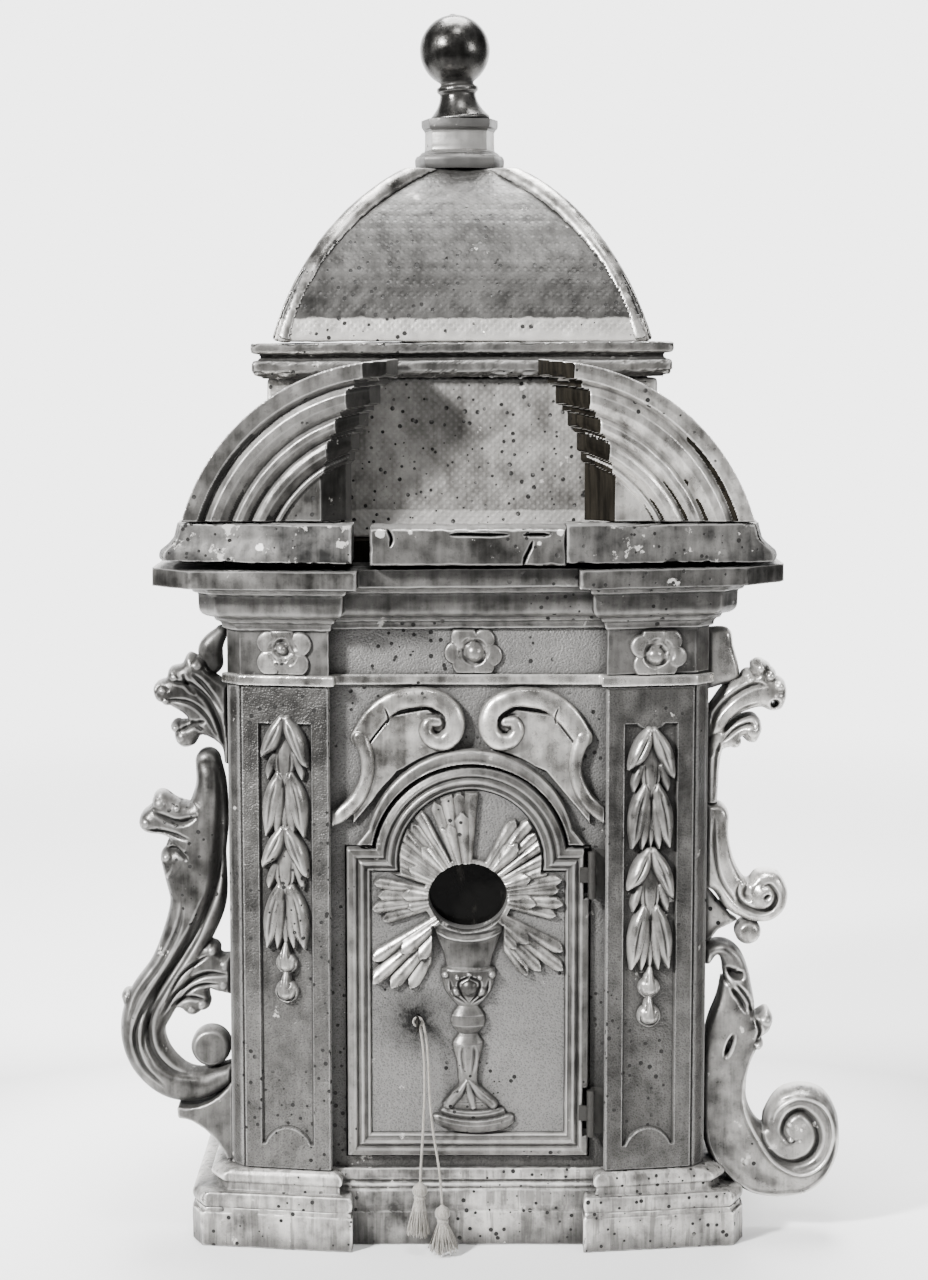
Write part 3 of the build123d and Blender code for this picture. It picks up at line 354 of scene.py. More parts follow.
LEAF = leafed("worn_leaf", light=0.24, dark=0.022, crowd=0.52)
LEAF_BRIGHT = leafed("bright_leaf", light=0.95, dark=0.08, gloss=0.26, metal=0.8, gesso=0.7, crowd=0.58,
                     soot_and_shade=0.85)
LEAF_CARVED = leafed("carved_leaf", light=0.5, dark=0.03, gloss=0.3, metal=0.75, gesso=0.7, crowd=0.56,
                     rub_and_highlight=0.25)
LEAF_RAYS = leafed("ray_leaf", light=0.75, dark=0.045, gloss=0.26, metal=0.8, gesso=0.72, crowd=0.55,
                   soot_and_shade=0.8, rub_and_highlight=0.3)
LEAF_MIDDLE = leafed("middle_leaf", light=0.2, dark=0.02, gloss=0.44, crowd=0.5,
                     pale=[(tuple(at(x, -48, z)), radius) for x, z, radius in CHIPS])
LEAF_LANTERN = leafed("lantern_leaf", light=0.08, dark=0.01, gloss=0.4, crowd=0.6, flake=80)
LEAF_FRAME = leafed("frame_leaf", light=0.34, dark=0.03, gloss=0.34, crowd=0.56, soot_and_shade=0.65, rub_and_highlight=0.35,
                    streak=0.35)
LEAF_GROUND = leafed("stippled_leaf", light=0.15, dark=0.02, ground="stipple", gloss=0.42, metal=0.6,
                     crowd=0.52, streak=0.3)
LEAF_CHIPPED = leafed("chipped_leaf", light=0.2, dark=0.008, gloss=0.5, metal=0.4, gesso=0.6, crowd=0.5,
                      flake=75, pale=[(tuple(at(-152, -37, 540)), 0.004)])
LEAF_BALL = leafed("burnished_leaf", light=0.14, dark=0.014, gloss=0.22, metal=0.9, gesso=0.8, crowd=0.7)
LEAF_DOOR = leafed("door_leaf", light=0.135, dark=0.012, ground="stipple", gloss=0.42, metal=0.6,
                   crowd=0.55, streak=0.25, stain=(tuple(at(-40, -2, 176)), 0.036))
LEAF_BASE = leafed("base_leaf", light=0.7, dark=0.02, gloss=0.36, metal=0.45, gesso=0.63, crowd=0.45,
                   flake=60, streak=0.6)
# Paler below its band: a painted light on the drum's flared foot, which faces up to the light.
LEAF_DRUM = leafed("drum_leaf", light=0.42, dark=0.1, ground="diaper", gloss=0.42, metal=0.5, crowd=0.36,
                   band=(0.566, 0.9))
LEAF_DOME = leafed("dome_leaf", light=0.09, dark=0.016, ground="diaper", gloss=0.4, crowd=0.52,
                   band=(0.71, 0.795))
# A lit copy of the leaf for the right pediment, painted far brighter than the shaded copy on the left one.
LEAF_LIT_PEDIMENT = leafed("lit_pediment_leaf", light=1.0, dark=0.1, gloss=0.3, metal=0.8, gesso=0.68, crowd=0.58,
                     soot_and_shade=0.65)
LEAF_SHADED = leafed("shaded_leaf", light=0.28, dark=0.035, gloss=0.34, gesso=0.7, crowd=0.6, soot_and_shade=0.6)
LEAF_SCUFFED = leafed("scuffed_leaf", light=0.42, dark=0.012, gloss=0.32, metal=0.7, gesso=0.63,
                      crowd=0.6, flake=60, streak=0.25)
LEAF_SIDE = leafed("side_leaf", light=0.2, dark=0.03, gloss=0.44, metal=0.5, gesso=0.62, crowd=0.5,
                   streak=0.6, flake=24)
WOOD = bare_wood("bare_wood", 0.13, 0.04)
BACK_WOOD = bare_wood("back_boards", 0.12, 0.03, along=(22, 22, 1.6), board=0.108)
DARK_WOOD = bare_wood("dark_wood", 0.014, 0.003, shine=0.05)
IRON = old_iron("forged_iron")
GLASS = old_glass("old_glass")
SILK = silk("silk_cord", 0.36)

# ---------------------------------------------------------------- pieces


def dress(piece, material, *nodes):
    """Give a finished piece its material, and let it stand for these CAD nodes."""
    piece.data.materials.clear()
    piece.data.materials.append(material)
    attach(piece, BODY[nodes[0]])
    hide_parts(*nodes)
    return piece


def mesh_object(name, points, faces, sharp=50):
    """A mesh object from points in metres, smooth but for its sharp edges."""
    mesh = bpy.data.meshes.new(name)
    mesh.from_pydata([tuple(p) for p in points], [], [tuple(int(i) for i in f) for f in faces])
    mesh.validate()
    piece = bpy.data.objects.new(name, mesh)
    SCENE.collection.objects.link(piece)
    tidy_normals(mesh, sharp)
    return piece


def tidy_normals(mesh, sharp):
    shell = bmesh.new()
    shell.from_mesh(mesh)
    bmesh.ops.recalc_face_normals(shell, faces=shell.faces)
    shell.to_mesh(mesh)
    shell.free()
    mesh.polygons.foreach_set("use_smooth", [True] * len(mesh.polygons))
    mesh.set_sharp_from_angle(angle=radians(sharp))


def waves(points, length, seed):
    """Gentle unevenness between -1 and 1, with features of about this length."""
    draw = np.random.default_rng(seed)
    total = np.zeros(len(points))
    for _ in range(7):
        direction = draw.normal(size=3)
        direction *= tau / (length * draw.uniform(0.7, 1.5)) / np.linalg.norm(direction)
        total += np.sin(points @ direction + draw.uniform(0, tau))
    return total / 4.5


def worn(node, material, voxel=1.5, rounding=5, wobble=0.22, chips=0.0, seed=1):
    """A CAD node as carved and gessoed: rounded edges, a hand-made waviness and chipped edges."""
    source = frame["nodes"][node]
    rough = bpy.data.objects.new(node + "_rough", source.data.copy())
    SCENE.collection.objects.link(rough)
    remesh = rough.modifiers.new("remesh", "REMESH")
    remesh.mode = "VOXEL"
    remesh.voxel_size = voxel * MM
    graph = bpy.context.evaluated_depsgraph_get()
    mesh = bpy.data.meshes.new_from_object(rough.evaluated_get(graph))
    blocky = positions(mesh)
    rough.data = mesh
    rough.modifiers.clear()
    smooth = rough.modifiers.new("smooth", "SMOOTH")
    smooth.factor = 0.6
    smooth.iterations = rounding
    graph = bpy.context.evaluated_depsgraph_get()
    mesh = bpy.data.meshes.new_from_object(rough.evaluated_get(graph))
    bpy.data.objects.remove(rough)
    points = positions(mesh)
    normals = np.empty(len(points) * 3)
    mesh.vertices.foreach_get("normal", normals)
    normals = normals.reshape(-1, 3)
    pulled = np.einsum("ij,ij->i", blocky - points, normals)  # how far smoothing drew each point in
    push = wobble * MM * (waves(points, 0.035, seed) + 0.5 * waves(points, 0.011, seed + 1))
    if chips:
        broken = np.clip(waves(points, 0.016, seed + 2) - 0.25, 0, 1)
        broken = broken + np.clip(waves(points, 0.007, seed + 3) - 0.3, 0, 1)
        push -= chips * MM * broken * np.clip(pulled / (0.4 * voxel * MM), 0, 1)
    points += normals * push[:, None]
    mesh.vertices.foreach_set("co", points.ravel())
    mesh.update()
    piece = bpy.data.objects.new(node + "_carved", mesh)
    SCENE.collection.objects.link(piece)
    mesh.polygons.foreach_set("use_smooth", [True] * len(mesh.polygons))
    return dress(piece, material, node)


def ring_faces(rings, sides, first=0):
    """Faces between rings of points, each ring closed on itself."""
    faces = []
    for low in range(first, first + (rings - 1) * sides, sides):
        faces += [(low + k, low + (k + 1) % sides, low + sides + (k + 1) % sides, low + sides + k)
                  for k in range(sides)]
    return faces


def ring(number, sides, first=0):
    """One ring of points as a face."""
    return tuple(first + number * sides + k for k in range(sides))


def positions(mesh):
    points = np.empty(len(mesh.vertices) * 3)
    mesh.vertices.foreach_get("co", points)
    return points.reshape(-1, 3)


def soften(points, rings, columns, amount):
    """Round the edges of a grid of rings, and tell how convex each of its points was."""
    grid = points.reshape(rings, columns, 3)
    upper = np.vstack([grid[:1], grid[:-1]])
    lower = np.vstack([grid[1:], grid[-1:]])
    pull = (upper + lower + np.roll(grid, 1, 1) + np.roll(grid, -1, 1)) / 4 - grid
    return (grid + amount * pull).reshape(-1, 3), pull.reshape(-1, 3)


def moulded(node, material, levels, plan, step=1.5, wobble=0.2, chips=0.5, seed=1, tilt=0.0,
            loose=False):
    """A moulded block: a plan outline whose reach changes with height, hand-worn and chipped.

    Levels are (height, reach). Chips are the depth in millimetres bitten out of its edges, and
    tilt lifts it by so much for each millimetre to the right. With loose, the mesh is given back
    undressed, to be joined to another.
    """
    outline = [np.array(plan(reach), float) for reach in (0, 1)]
    sides = zip(outline[1], np.roll(outline[1], -1, 0))
    counts = [max(1, round(np.hypot(*(b - a)) / step)) for a, b in sides]
    reach_size = np.abs(outline[1] - outline[0]).max()
    fine = []
    for (low, start), (high, end) in zip(levels, levels[1:]):
        count = max(1, round(np.hypot(high - low, (end - start) * reach_size) / (0.8 * step)))
        fine += [(low + (high - low) * i / count, start + (end - start) * i / count) for i in range(count)]
    fine.append(levels[-1])
    rings = []
    for z, reach in fine:
        corners = np.array(plan(reach), float)
        sides = zip(corners, np.roll(corners, -1, 0), counts)
        runs = [a + (b - a) * (np.arange(n) / n)[:, None] for a, b, n in sides]
        around = np.vstack(runs)
        rings.append(np.column_stack([around, z + tilt * around[:, 0]]))
    columns = len(rings[0])
    points = np.vstack(rings)
    points, pull = soften(points, len(rings), columns, 0.7)
    points, _ = soften(points, len(rings), columns, 0.5)
    bite = np.clip(-waves(points, 17, seed) - 0.15, 0, 1)
    bite = bite + np.clip(waves(points, 6, seed + 1) - 0.2, 0, 1)
    out = -pull / (np.linalg.norm(pull, axis=1)[:, None] + 1e-6)
    edge = np.clip(np.linalg.norm(pull, axis=1) / (0.22 * step) - 0.3, 0, 1)
    edge = edge.reshape(len(rings), columns)
    beside = np.maximum(np.vstack([edge[:1], edge[:-1]]), np.vstack([edge[1:], edge[-1:]]))
    near = np.maximum(edge, 0.6 * beside)
    points = points - out * (chips * bite * near.ravel())[:, None]
    drift = [waves(points, 40, seed + i) + 0.4 * waves(points, 9, seed + 3 + i) for i in (2, 9, 16)]
    points = points + wobble * np.column_stack(drift)
    faces = ring_faces(len(rings), columns)
    faces += [ring(0, columns)[::-1], ring(len(rings) - 1, columns)]
    piece = mesh_object(node + "_moulded", [at(*point) for point in points], faces, 45)
    return piece if loose else dress(piece, material, node)


def joined(name, pieces):
    """Several meshes made into one."""
    first = pieces[0]
    with bpy.context.temp_override(active_object=first, selected_editable_objects=pieces):
        bpy.ops.object.join()
    first.name = name
    return first


def mirrored(points, side):
    return [(side * x, *rest) for x, *rest in points]


def half_round(low, high, inner, outer, steps=8):
    """Levels of a torus between two heights."""
    turns = np.linspace(0, pi, steps + 1)
    return [((low + high) / 2 - (high - low) / 2 * cos(t), inner + (outer - inner) * sin(t)) for t in turns]


def quarter_round(low, high, start, end, steps=8):
    """Levels of an ovolo that grows with height."""
    turns = np.linspace(0, pi / 2, steps + 1)
    return [(low + (high - low) * (1 - cos(t)), start + (end - start) * sin(t)) for t in turns]


# ---------------------------------------------------------------- carving in relief


def curve(points, per=12):
    """Smooth line through a few points, each a row of numbers."""
    p = np.array(points, float)
    if len(p) == 2:
        return p[0] + (p[1] - p[0]) * np.linspace(0, 1, per)[:, None]
    p = np.vstack([2 * p[0] - p[1], p, 2 * p[-1] - p[-2]])
    out = []
    for a, b, c, d in zip(p, p[1:], p[2:], p[3:]):
        for t in np.arange(per) / per:
            out.append(0.5 * (2 * b + (c - a) * t + (2 * a - 5 * b + 4 * c - d) * t**2
                              + (3 * b - a - 3 * c + d) * t**3))
    out.append(p[-2])
    return np.array(out)


class Carving:
    """A carved board as a field over a grid: how far inside its outline a place is, and its height."""

    def __init__(self, low, high, step):
        self.step = step
        self.x, self.z = np.meshgrid(np.arange(low[0], high[0] + step, step),
                                     np.arange(low[1], high[1] + step, step))
        self.inside = np.full(self.x.shape, -50.0)
        self.height = np.zeros(self.x.shape)

    def along(self, line):
        """Distance to a line, and the line's further numbers at its nearest point."""
        nearest = np.full(self.x.shape, 1e9)
        more = np.zeros(self.x.shape + (line.shape[1] - 2,))
        for a, b in zip(line, line[1:]):
            run = b[:2] - a[:2]
            t = ((self.x - a[0]) * run[0] + (self.z - a[1]) * run[1]) / max(run @ run, 1e-9)
            t = np.clip(t, 0, 1)
            away = np.hypot(self.x - a[0] - t * run[0], self.z - a[1] - t * run[1])
            closer = away < nearest
            nearest[closer] = away[closer]
            more[closer] = (a[2:] + (b - a)[2:] * t[..., None])[closer]
        return nearest, more

    def raise_to(self, inside, height, blend=1.2):
        """Add a form to the outline and lift the carving to its height, with a soft valley between."""
        self.inside = np.maximum(self.inside, inside)
        height = np.where(inside > 0, height, 0)
        mixed = np.logaddexp(self.height / blend, height / blend) * blend - blend * np.log(2) * np.exp(
            -np.abs(self.height - height) / blend)
        self.height = np.where(inside > 0, np.maximum(mixed, np.maximum(self.height, height)), self.height)

    def stroke(self, points, crown=0.5, blend=1.2):
        """A rounded lobe or stem along points of x, z, half-width and height."""
        away, more = self.along(curve(points))
        width = np.maximum(more[..., 0], 0.01)
        across = np.clip(away / width, 0, 1)
        self.raise_to(width - away, more[..., 1] * (1 - across**2) ** crown, blend)

    def wedge(self, start, end, widths, heights):
        """A straight spreading lobe, softly ridged, that ends in a point."""
        start, end = np.array(start, float), np.array(end, float)
        length = np.hypot(*(end - start))
        way = (end - start) / length
        along = (self.x - start[0]) * way[0] + (self.z - start[1]) * way[1]
        across = np.abs((self.x - start[0]) * -way[1] + (self.z - start[1]) * way[0])
        share = np.clip(along / length, 0, 1)
        width = widths[0] + (widths[1] - widths[0]) * share
        share_across = np.clip(across / width, 0, 1)
        height = heights[0] + (heights[1] - heights[0]) * share
        height = height * (0.5 + 0.5 * np.cos(pi / 2 * share_across))
        point = np.clip((along - length) / (1.5 * width) + 1, 0, None)
        tip = width * (1 - point**1.8) - across
        self.raise_to(np.minimum(np.minimum(width - across, along), tip), height, 0.5)

    def disc(self, x, z, radius, height, crown=0.5, blend=1.2):
        away = np.hypot(self.x - x, self.z - z)
        self.raise_to(radius - away, height * (1 - np.clip(away / radius, 0, 1) ** 2) ** crown, blend)

    def depth_in(self, outline, line):
        """How far inside an outline each place is, and its distance to the outline's line."""
        away, _ = self.along(line)
        inside = np.zeros(self.x.shape, bool)
        for (ax, az), (bx, bz) in zip(outline, np.roll(outline, -1, 0)):
            crosses = (az > self.z) != (bz > self.z)
            inside ^= crosses & (self.x < (bx - ax) * (self.z - az) / (bz - az + 1e-12) + ax)
        return np.where(inside, away, -away), away

    def plate(self, corners, height):
        """A flat area inside an outline of corners."""
        p = np.array(corners, float)
        depth, _ = self.depth_in(p, np.vstack([p, p[:1]]))
        self.raise_to(depth, np.full(self.x.shape, float(height)), 0.3)

    def pillow(self, corners, height, soft=12, blend=1.5):
        """A swelling leaf or body inside a smooth outline, highest this far in from its edge."""
        p = curve([*corners, corners[0]], 5)
        depth, away = self.depth_in(p, p)
        swell = np.sqrt(1 - (1 - np.clip(away / soft, 0, 1)) ** 2)
        self.raise_to(depth, height * (0.45 + 0.55 * swell), blend)

    def discs(self, rows, height, crown=0.4, blend=0.8):
        """Several knobs of one height: x, z and radius."""
        for x, z, radius in rows:
            self.disc(x, z, radius, height, crown, blend)

    def grooves(self, *rows):
        """Several gouges: width, depth and points."""
        for width, depth, points in rows:
            self.groove(points, width, depth)

    def groove(self, points, width, depth):
        """A gouge cut along points, running out at both ends."""
        line = curve(points)
        share = np.linspace(0, 1, len(line))
        away, more = self.along(np.column_stack([line, np.clip(5 * share * (1 - share), 0, 1)]))
        bite = more[..., 0]
        self.height -= depth * bite * np.exp(-(away / (width * (0.45 + 0.55 * bite))) ** 2)

    def ridge(self, points, width, depth):
        self.groove(points, width, -depth)

    def keep(self, inside):
        """Cut the outline back to where this is above zero."""
        self.inside = np.minimum(self.inside, inside)

    def build(self, name, place, floor=0.0, back=0.0, round_over=2.0, hand=0.25, seed=5):
        """Mesh of the carving: place(x, z, height) gives each point. Its edge drops to the back."""
        shape = np.clip(self.inside / round_over, 0, 1)
        height = floor + np.maximum(self.height, 0.3) * np.sqrt(1 - (1 - shape) ** 2)
        flat = np.column_stack([self.x.ravel(), self.z.ravel(), np.zeros(self.x.size)])
        height = height + hand * waves(flat, 14, seed).reshape(self.x.shape) * shape
        columns = self.x.shape[1]
        lower, upper = self.inside[:-1], self.inside[1:]
        centre = (lower[:, :-1] + upper[:, :-1] + lower[:, 1:] + upper[:, 1:]) / 4
        first = np.argwhere(centre > 0) @ (columns, 1)
        quads = np.column_stack([first, first + 1, first + columns + 1, first + columns])
        used, quads = np.unique(quads, return_inverse=True)
        quads = quads.reshape(-1, 4)
        x, z, h = self.x.ravel()[used], self.z.ravel()[used], height.ravel()[used]
        edges = np.vstack([quads[:, [i, (i + 1) % 4]] for i in range(4)])
        key = np.sort(edges, 1)
        _, first, count = np.unique(key, axis=0, return_index=True, return_counts=True)
        rim = edges[first[count == 1]]
        rim_points = np.unique(rim)
        slope_z, slope_x = np.gradient(self.inside, self.step)
        slope_x, slope_z = slope_x.ravel()[used][rim_points], slope_z.ravel()[used][rim_points]
        reach = self.inside.ravel()[used][rim_points] / np.maximum(slope_x**2 + slope_z**2, 0.25)
        reach = np.clip(reach, -self.step, self.step)
        x[rim_points] -= reach * slope_x
        z[rim_points] -= reach * slope_z
        h[rim_points] = floor
        count = len(x)
        top = [place(*p) for p in zip(x, z, h)]
        bottom = [place(a, b, back) for a, b in zip(x, z)]
        walls = np.column_stack([rim[:, 1], rim[:, 0], rim[:, 0] + count, rim[:, 1] + count])
        faces = np.vstack([quads, quads[:, ::-1] + count, walls])
        return mesh_object(name, top + bottom, faces)


def facing(y):
    """Places on a plane that faces the viewer, y millimetres behind the front board."""
    return lambda x, z, height: at(x, y - height, z)


def canted(side, back=0.0):
    """Places on a pilaster's canted face."""
    turn = atan2(11.5, 67)
    return lambda u, z, height: at(side * 137.5 + u * cos(turn) + side * (height - back) * sin(turn),
                                   -8.25 + side * u * sin(turn) - (height - back) * cos(turn), z)


SCROLL_FACE = 28  # how far behind the front board the side scrolls' carving starts


def side_piece(name, carving, material=None, seed=5):
    """A side scroll: cut off at the cabinet's side and set behind the canted corner."""
    carving.keep(np.abs(carving.x) - SIDE)
    piece = carving.build(name, facing(SCROLL_FACE), back=-10, round_over=3.5, hand=0.3, seed=seed)
    return dress(piece, material or LEAF, name)


def leaf_scroll_left():
    c = Carving((-246, 366), (-180, 476), 0.8)
    c.stroke([(-188, 470, 5, 6), (-196, 458, 9, 8), (-195, 446, 8, 5)])
    c.pillow(LEAF_LEFT, 15, 13)
    c.discs(((-231, 426, 8), (-222, 436, 7), (-206, 445, 7), (-217, 391, 7), (-222, 398, 5),
             (-229, 419, 5)), 15)
    c.grooves(
        (2.4, 6, [(-184, 372), (-187, 395), (-196, 418), (-210, 431), (-225, 434)]),
        (2.0, 4, [(-186, 410), (-198, 428), (-209, 440)]),
        (1.6, 3.5, [(-190, 392), (-199, 408), (-212, 418), (-230, 420)]),
        (1.2, 3, [(-226, 427), (-234, 430), (-238, 424)]),
        (1.6, 4, [(-200, 397), (-209, 400), (-220, 396)]),
        (1.8, 4, [(-213, 403), (-206, 402), (-199, 404)]),
        (1.4, 3, [(-216, 440), (-213, 431), (-206, 424)]))
    return side_piece("leaf_scroll_left", c)


# Outlines of the side scrolls, in millimetres as x and z. Their points were picked on the photograph,
# converted through the camera by a scratch program and rounded to whole millimetres.
LEAF_LEFT = [(-186, 370), (-188, 382), (-196, 389), (-204, 391), (-209, 384), (-217, 382), (-223, 387),
             (-224, 397), (-220, 402), (-214, 403), (-217, 408), (-229, 415), (-237, 418), (-240, 426),
             (-237, 432), (-230, 435), (-227, 443), (-218, 446), (-213, 454), (-205, 451), (-200, 446),
             (-193, 438), (-184, 432), (-176, 424), (-176, 370)]
S_LEAF = [(-209, 342), (-214, 339), (-224, 342), (-233, 348), (-240, 346), (-242, 338), (-250, 331),
          (-252, 322), (-246, 316), (-234, 314), (-225, 309), (-226, 304), (-233, 303), (-236, 298),
          (-235, 290), (-231, 281), (-218, 286), (-202, 312), (-200, 338)]
S_ACANTHUS = [(-237, 173), (-232, 191), (-226, 208), (-216, 221), (-203, 229), (-198, 231), (-192, 226),
              (-190, 220), (-178, 217), (-178, 191), (-192, 191), (-200, 193), (-200, 184), (-204, 178),
              (-210, 173), (-216, 173), (-223, 178), (-230, 174), (-236, 165)]


def s_scroll_left():
    c = Carving((-272, 100), (-180, 382), 0.85)
    c.stroke([(-256, 172, 8, 9), (-263, 187, 5, 8)])
    c.pillow(S_ACANTHUS, 11, 9)
    c.discs(((-197, 224, 6), (-187, 212, 7), (-188, 198, 7), (-205, 182, 6), (-213, 179, 6)), 12)
    c.stroke([(-199, 371, 9.5, 9), (-197, 350, 12, 14), (-202, 322, 18, 15), (-210, 295, 24, 15),
              (-208, 262, 21.5, 15), (-218, 232, 18.5, 16), (-229, 206, 18.5, 17), (-245, 182, 19, 17),
              (-252, 160, 17, 17), (-246, 138, 16.5, 17), (-229, 121, 15, 16), (-208, 117, 12, 14),
              (-184, 126, 8, 11)], 0.45)
    c.pillow(S_LEAF, 16, 13)
    c.discs(((-234, 339, 8), (-245, 325, 7), (-230, 298, 6), (-222, 336, 5)), 16.5)
    c.disc(-199, 147, 15.5, 9, 0.18)
    c.grooves(
        (3.4, 8, [(-192, 372), (-189, 345), (-190, 310), (-194, 278), (-204, 250), (-220, 222),
                  (-238, 194), (-247, 168), (-243, 146), (-228, 130), (-205, 124)]),
        (2.2, 4.5, [(-202, 268), (-212, 242), (-228, 214), (-247, 184), (-256, 160), (-250, 136),
                    (-232, 118)]),
        (1.2, 3, [(-198, 262), (-207, 236), (-224, 208), (-242, 178), (-250, 154), (-242, 134)]),
        (1.8, 2.5, [(-218, 268), (-222, 244), (-236, 216), (-254, 190), (-262, 166)]),
        (1.8, 4.5, [(-235.7, 174.9), (-222.6, 194.6), (-203.3, 206), (-184, 206)]),
        (1.5, 4, [(-229.2, 181.4), (-216.3, 188), (-201.9, 186)]),
        (1.5, 3.5, [(-232.4, 184.7), (-219.3, 207.7), (-198.3, 222)]),
        (1.2, 3, [(-228, 178), (-211, 196), (-190, 199)]),
        (2.2, 5, [(-206, 330), (-222, 326), (-240, 334)]),
        (1.6, 4, [(-212, 312), (-230, 318), (-246, 320)]),
        (1.8, 5, [(-214, 296), (-222, 304), (-231, 304)]),
        (1.6, 3, [(-210, 350), (-214, 342), (-224, 343)]))
    return side_piece("s_scroll_left", c, seed=8)


LEAF_RIGHT = [(178, 389), (178, 404), (187, 418), (196, 430), (206, 436), (215, 441), (216, 447),
              (222, 449), (230, 446), (231, 438), (240, 434), (243, 425), (240, 413), (232, 410),
              (223, 413), (212, 410), (200, 403), (193, 394)]
LEAF_RIGHT_LOW = [(184, 386), (196, 397), (206, 405), (217, 408), (223, 403), (224, 394), (220, 386),
                  (214, 386), (209, 390), (207, 383), (201, 382), (195, 380), (190, 374), (182, 371)]
LEAF_RIGHT_TOP = [(176, 473), (198, 473), (202, 460), (206, 445), (206, 435), (194, 430), (176, 430)]


def leaf_scroll_right():
    c = Carving((180, 339), (246, 476), 0.8)
    c.pillow(LEAF_RIGHT_TOP, 8, 9)
    c.stroke([(185, 336, 6, 8), (186, 372, 7, 10), (190, 392, 8, 12)])
    c.pillow(LEAF_RIGHT_LOW, 12, 8)
    c.disc(216, 396, 8.5, 14, 0.4, 0.8)
    c.disc(204, 386, 5, 11, 0.4, 0.8)
    c.pillow(LEAF_RIGHT, 15, 12)
    c.discs(((235, 422, 8), (222, 444, 6), (229, 438, 6), (214, 436, 6), (236, 430, 6)), 16)
    c.grooves(
        (2.2, 5, [(183, 384), (187, 406), (199, 421), (216, 431), (228, 430)]),
        (1.5, 3, [(196, 396), (206, 410), (222, 418)]),
        (1.5, 3, [(205, 431), (214, 438), (222, 438)]),
        (1.6, 4, [(192, 386), (204, 397), (214, 401), (219, 397)]),
        (1.6, 4, [(188, 342), (189, 374), (192, 388)]))
    c.keep(np.hypot(c.x - 233, c.z - 416.5) - 1.6)
    return side_piece("leaf_scroll_right", c, LEAF_BRIGHT, seed=12)


VOLUTE_BODY = [(176, 338), (184, 339), (195, 338), (200, 330), (200, 314), (204, 296), (211, 282),
               (216, 279), (222, 285), (231, 286), (240, 283), (246, 270), (244, 257), (235, 248),
               (224, 246), (211, 249), (198, 257), (189, 270), (176, 282)]
VOLUTE_FOOT = [(178, 280), (188, 268), (203, 250), (208, 247), (193, 240), (186, 230), (178, 230)]


def volute_middle_right():
    c = Carving((180, 228), (247, 340), 0.8)
    c.plate(VOLUTE_FOOT, 5)
    c.ridge([(184, 232), (193, 241), (206, 246)], 1.8, 3)
    c.disc(216, 238, 10, 9, 0.3)
    c.pillow(VOLUTE_BODY, 13, 10)
    c.disc(229, 267, 17, 17, 0.5, 0.8)
    c.grooves(
        (2.0, 7, [(208, 280), (206, 270), (211, 261), (222, 256), (232, 259), (236, 268), (231, 276),
                  (224, 275)]),
        (2.4, 5, [(214, 278), (212, 269), (217, 264)]),
        (1.6, 4, [(226, 266), (231, 270)]),
        (1.5, 3, [(188, 334), (188, 308), (192, 284), (203, 266), (218, 252)]))
    return side_piece("volute_middle_right", c, LEAF_BRIGHT, seed=16)


LOWER_HOOK = [(178, 221), (182, 227), (191, 231), (201, 230), (210, 223), (215, 213), (219, 197),
              (221, 176), (204, 189), (198, 202), (196, 214), (192, 220), (186, 213), (178, 215)]
LOWER_BODY = [(196, 202), (207, 200), (220, 181), (222, 174), (231, 178), (236, 170), (233, 160),
              (226, 154), (224, 146), (218, 131), (216, 110), (221, 94), (229, 85), (231, 94), (241, 110),
              (257, 116), (275, 112), (286, 97), (289, 76), (286, 57), (276, 40), (260, 30), (237, 28),
              (216, 33), (196, 49), (185, 68), (181, 94), (182, 123), (183, 150), (186, 168), (193, 187)]
LOWER_RIM = [(222, 150), (217, 134), (213, 116), (215, 97), (225, 76), (239, 57), (258, 49), (274, 57),
             (282, 76), (280, 94), (270, 106), (254, 109), (240, 100), (235, 86)]
LOWER_OUTER = [(229, 98), (240, 108), (257, 112), (272, 108), (283, 95), (286, 76), (283, 59), (274, 43),
               (260, 34), (238, 32), (218, 36), (199, 51), (188, 70), (184, 95)]
LOWER_CURL = [(228, 88), (229, 74), (238, 62), (250, 57), (264, 62), (271, 74), (269, 88), (259, 98),
              (249, 95), (244, 84), (249, 75), (257, 76)]


def volute_lower_right():
    c = Carving((180, 22), (293, 232), 0.85)
    c.pillow(LOWER_BODY, 14, 16)
    c.pillow(LOWER_HOOK, 14, 9)
    c.discs(((229, 169, 7), (224, 150, 5), (214, 190, 6)), 14)
    c.groove([(200, 180), (196, 150), (195, 123), (198, 97), (207, 74), (223, 56), (243, 43),
              (262, 41)], 9, 3.5)
    c.ridge(LOWER_RIM, 2.0, 4)
    c.ridge(LOWER_OUTER, 1.9, 2.6)
    c.groove(LOWER_CURL, 2.6, 6)
    c.disc(252, 81, 11, 14, 0.5)
    c.discs(((249, 88, 4), (258, 84, 3.4), (250, 76, 4), (257, 75, 3)), 15.5, 0.5, 0.6)
    c.grooves(
        (3.0, 10, [(198, 212), (206, 206), (212, 208)]),
        (1.8, 5, [(202, 196), (209, 188), (215, 176)]),
        (1.4, 4, [(206, 200), (216, 186), (219, 172)]),
        (1.4, 4, [(222, 172), (225, 162), (222, 152)]))
    c.keep(np.hypot((c.x - 201.5) * 1.7 - (c.z - 150) * 0.5, (c.z - 150) * 0.5) - 2.4)
    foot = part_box("pedestal_right")[1]
    c.keep(np.maximum(c.x - foot[0] / MM - 1, c.z - foot[2] / MM - 1 + (c.x - SIDE) * 0.9))
    return side_piece("volute_lower_right", c, LEAF_SCUFFED, seed=20)


MIDDLE = 2.8  # the door's arch and its scrolls are carved about this line
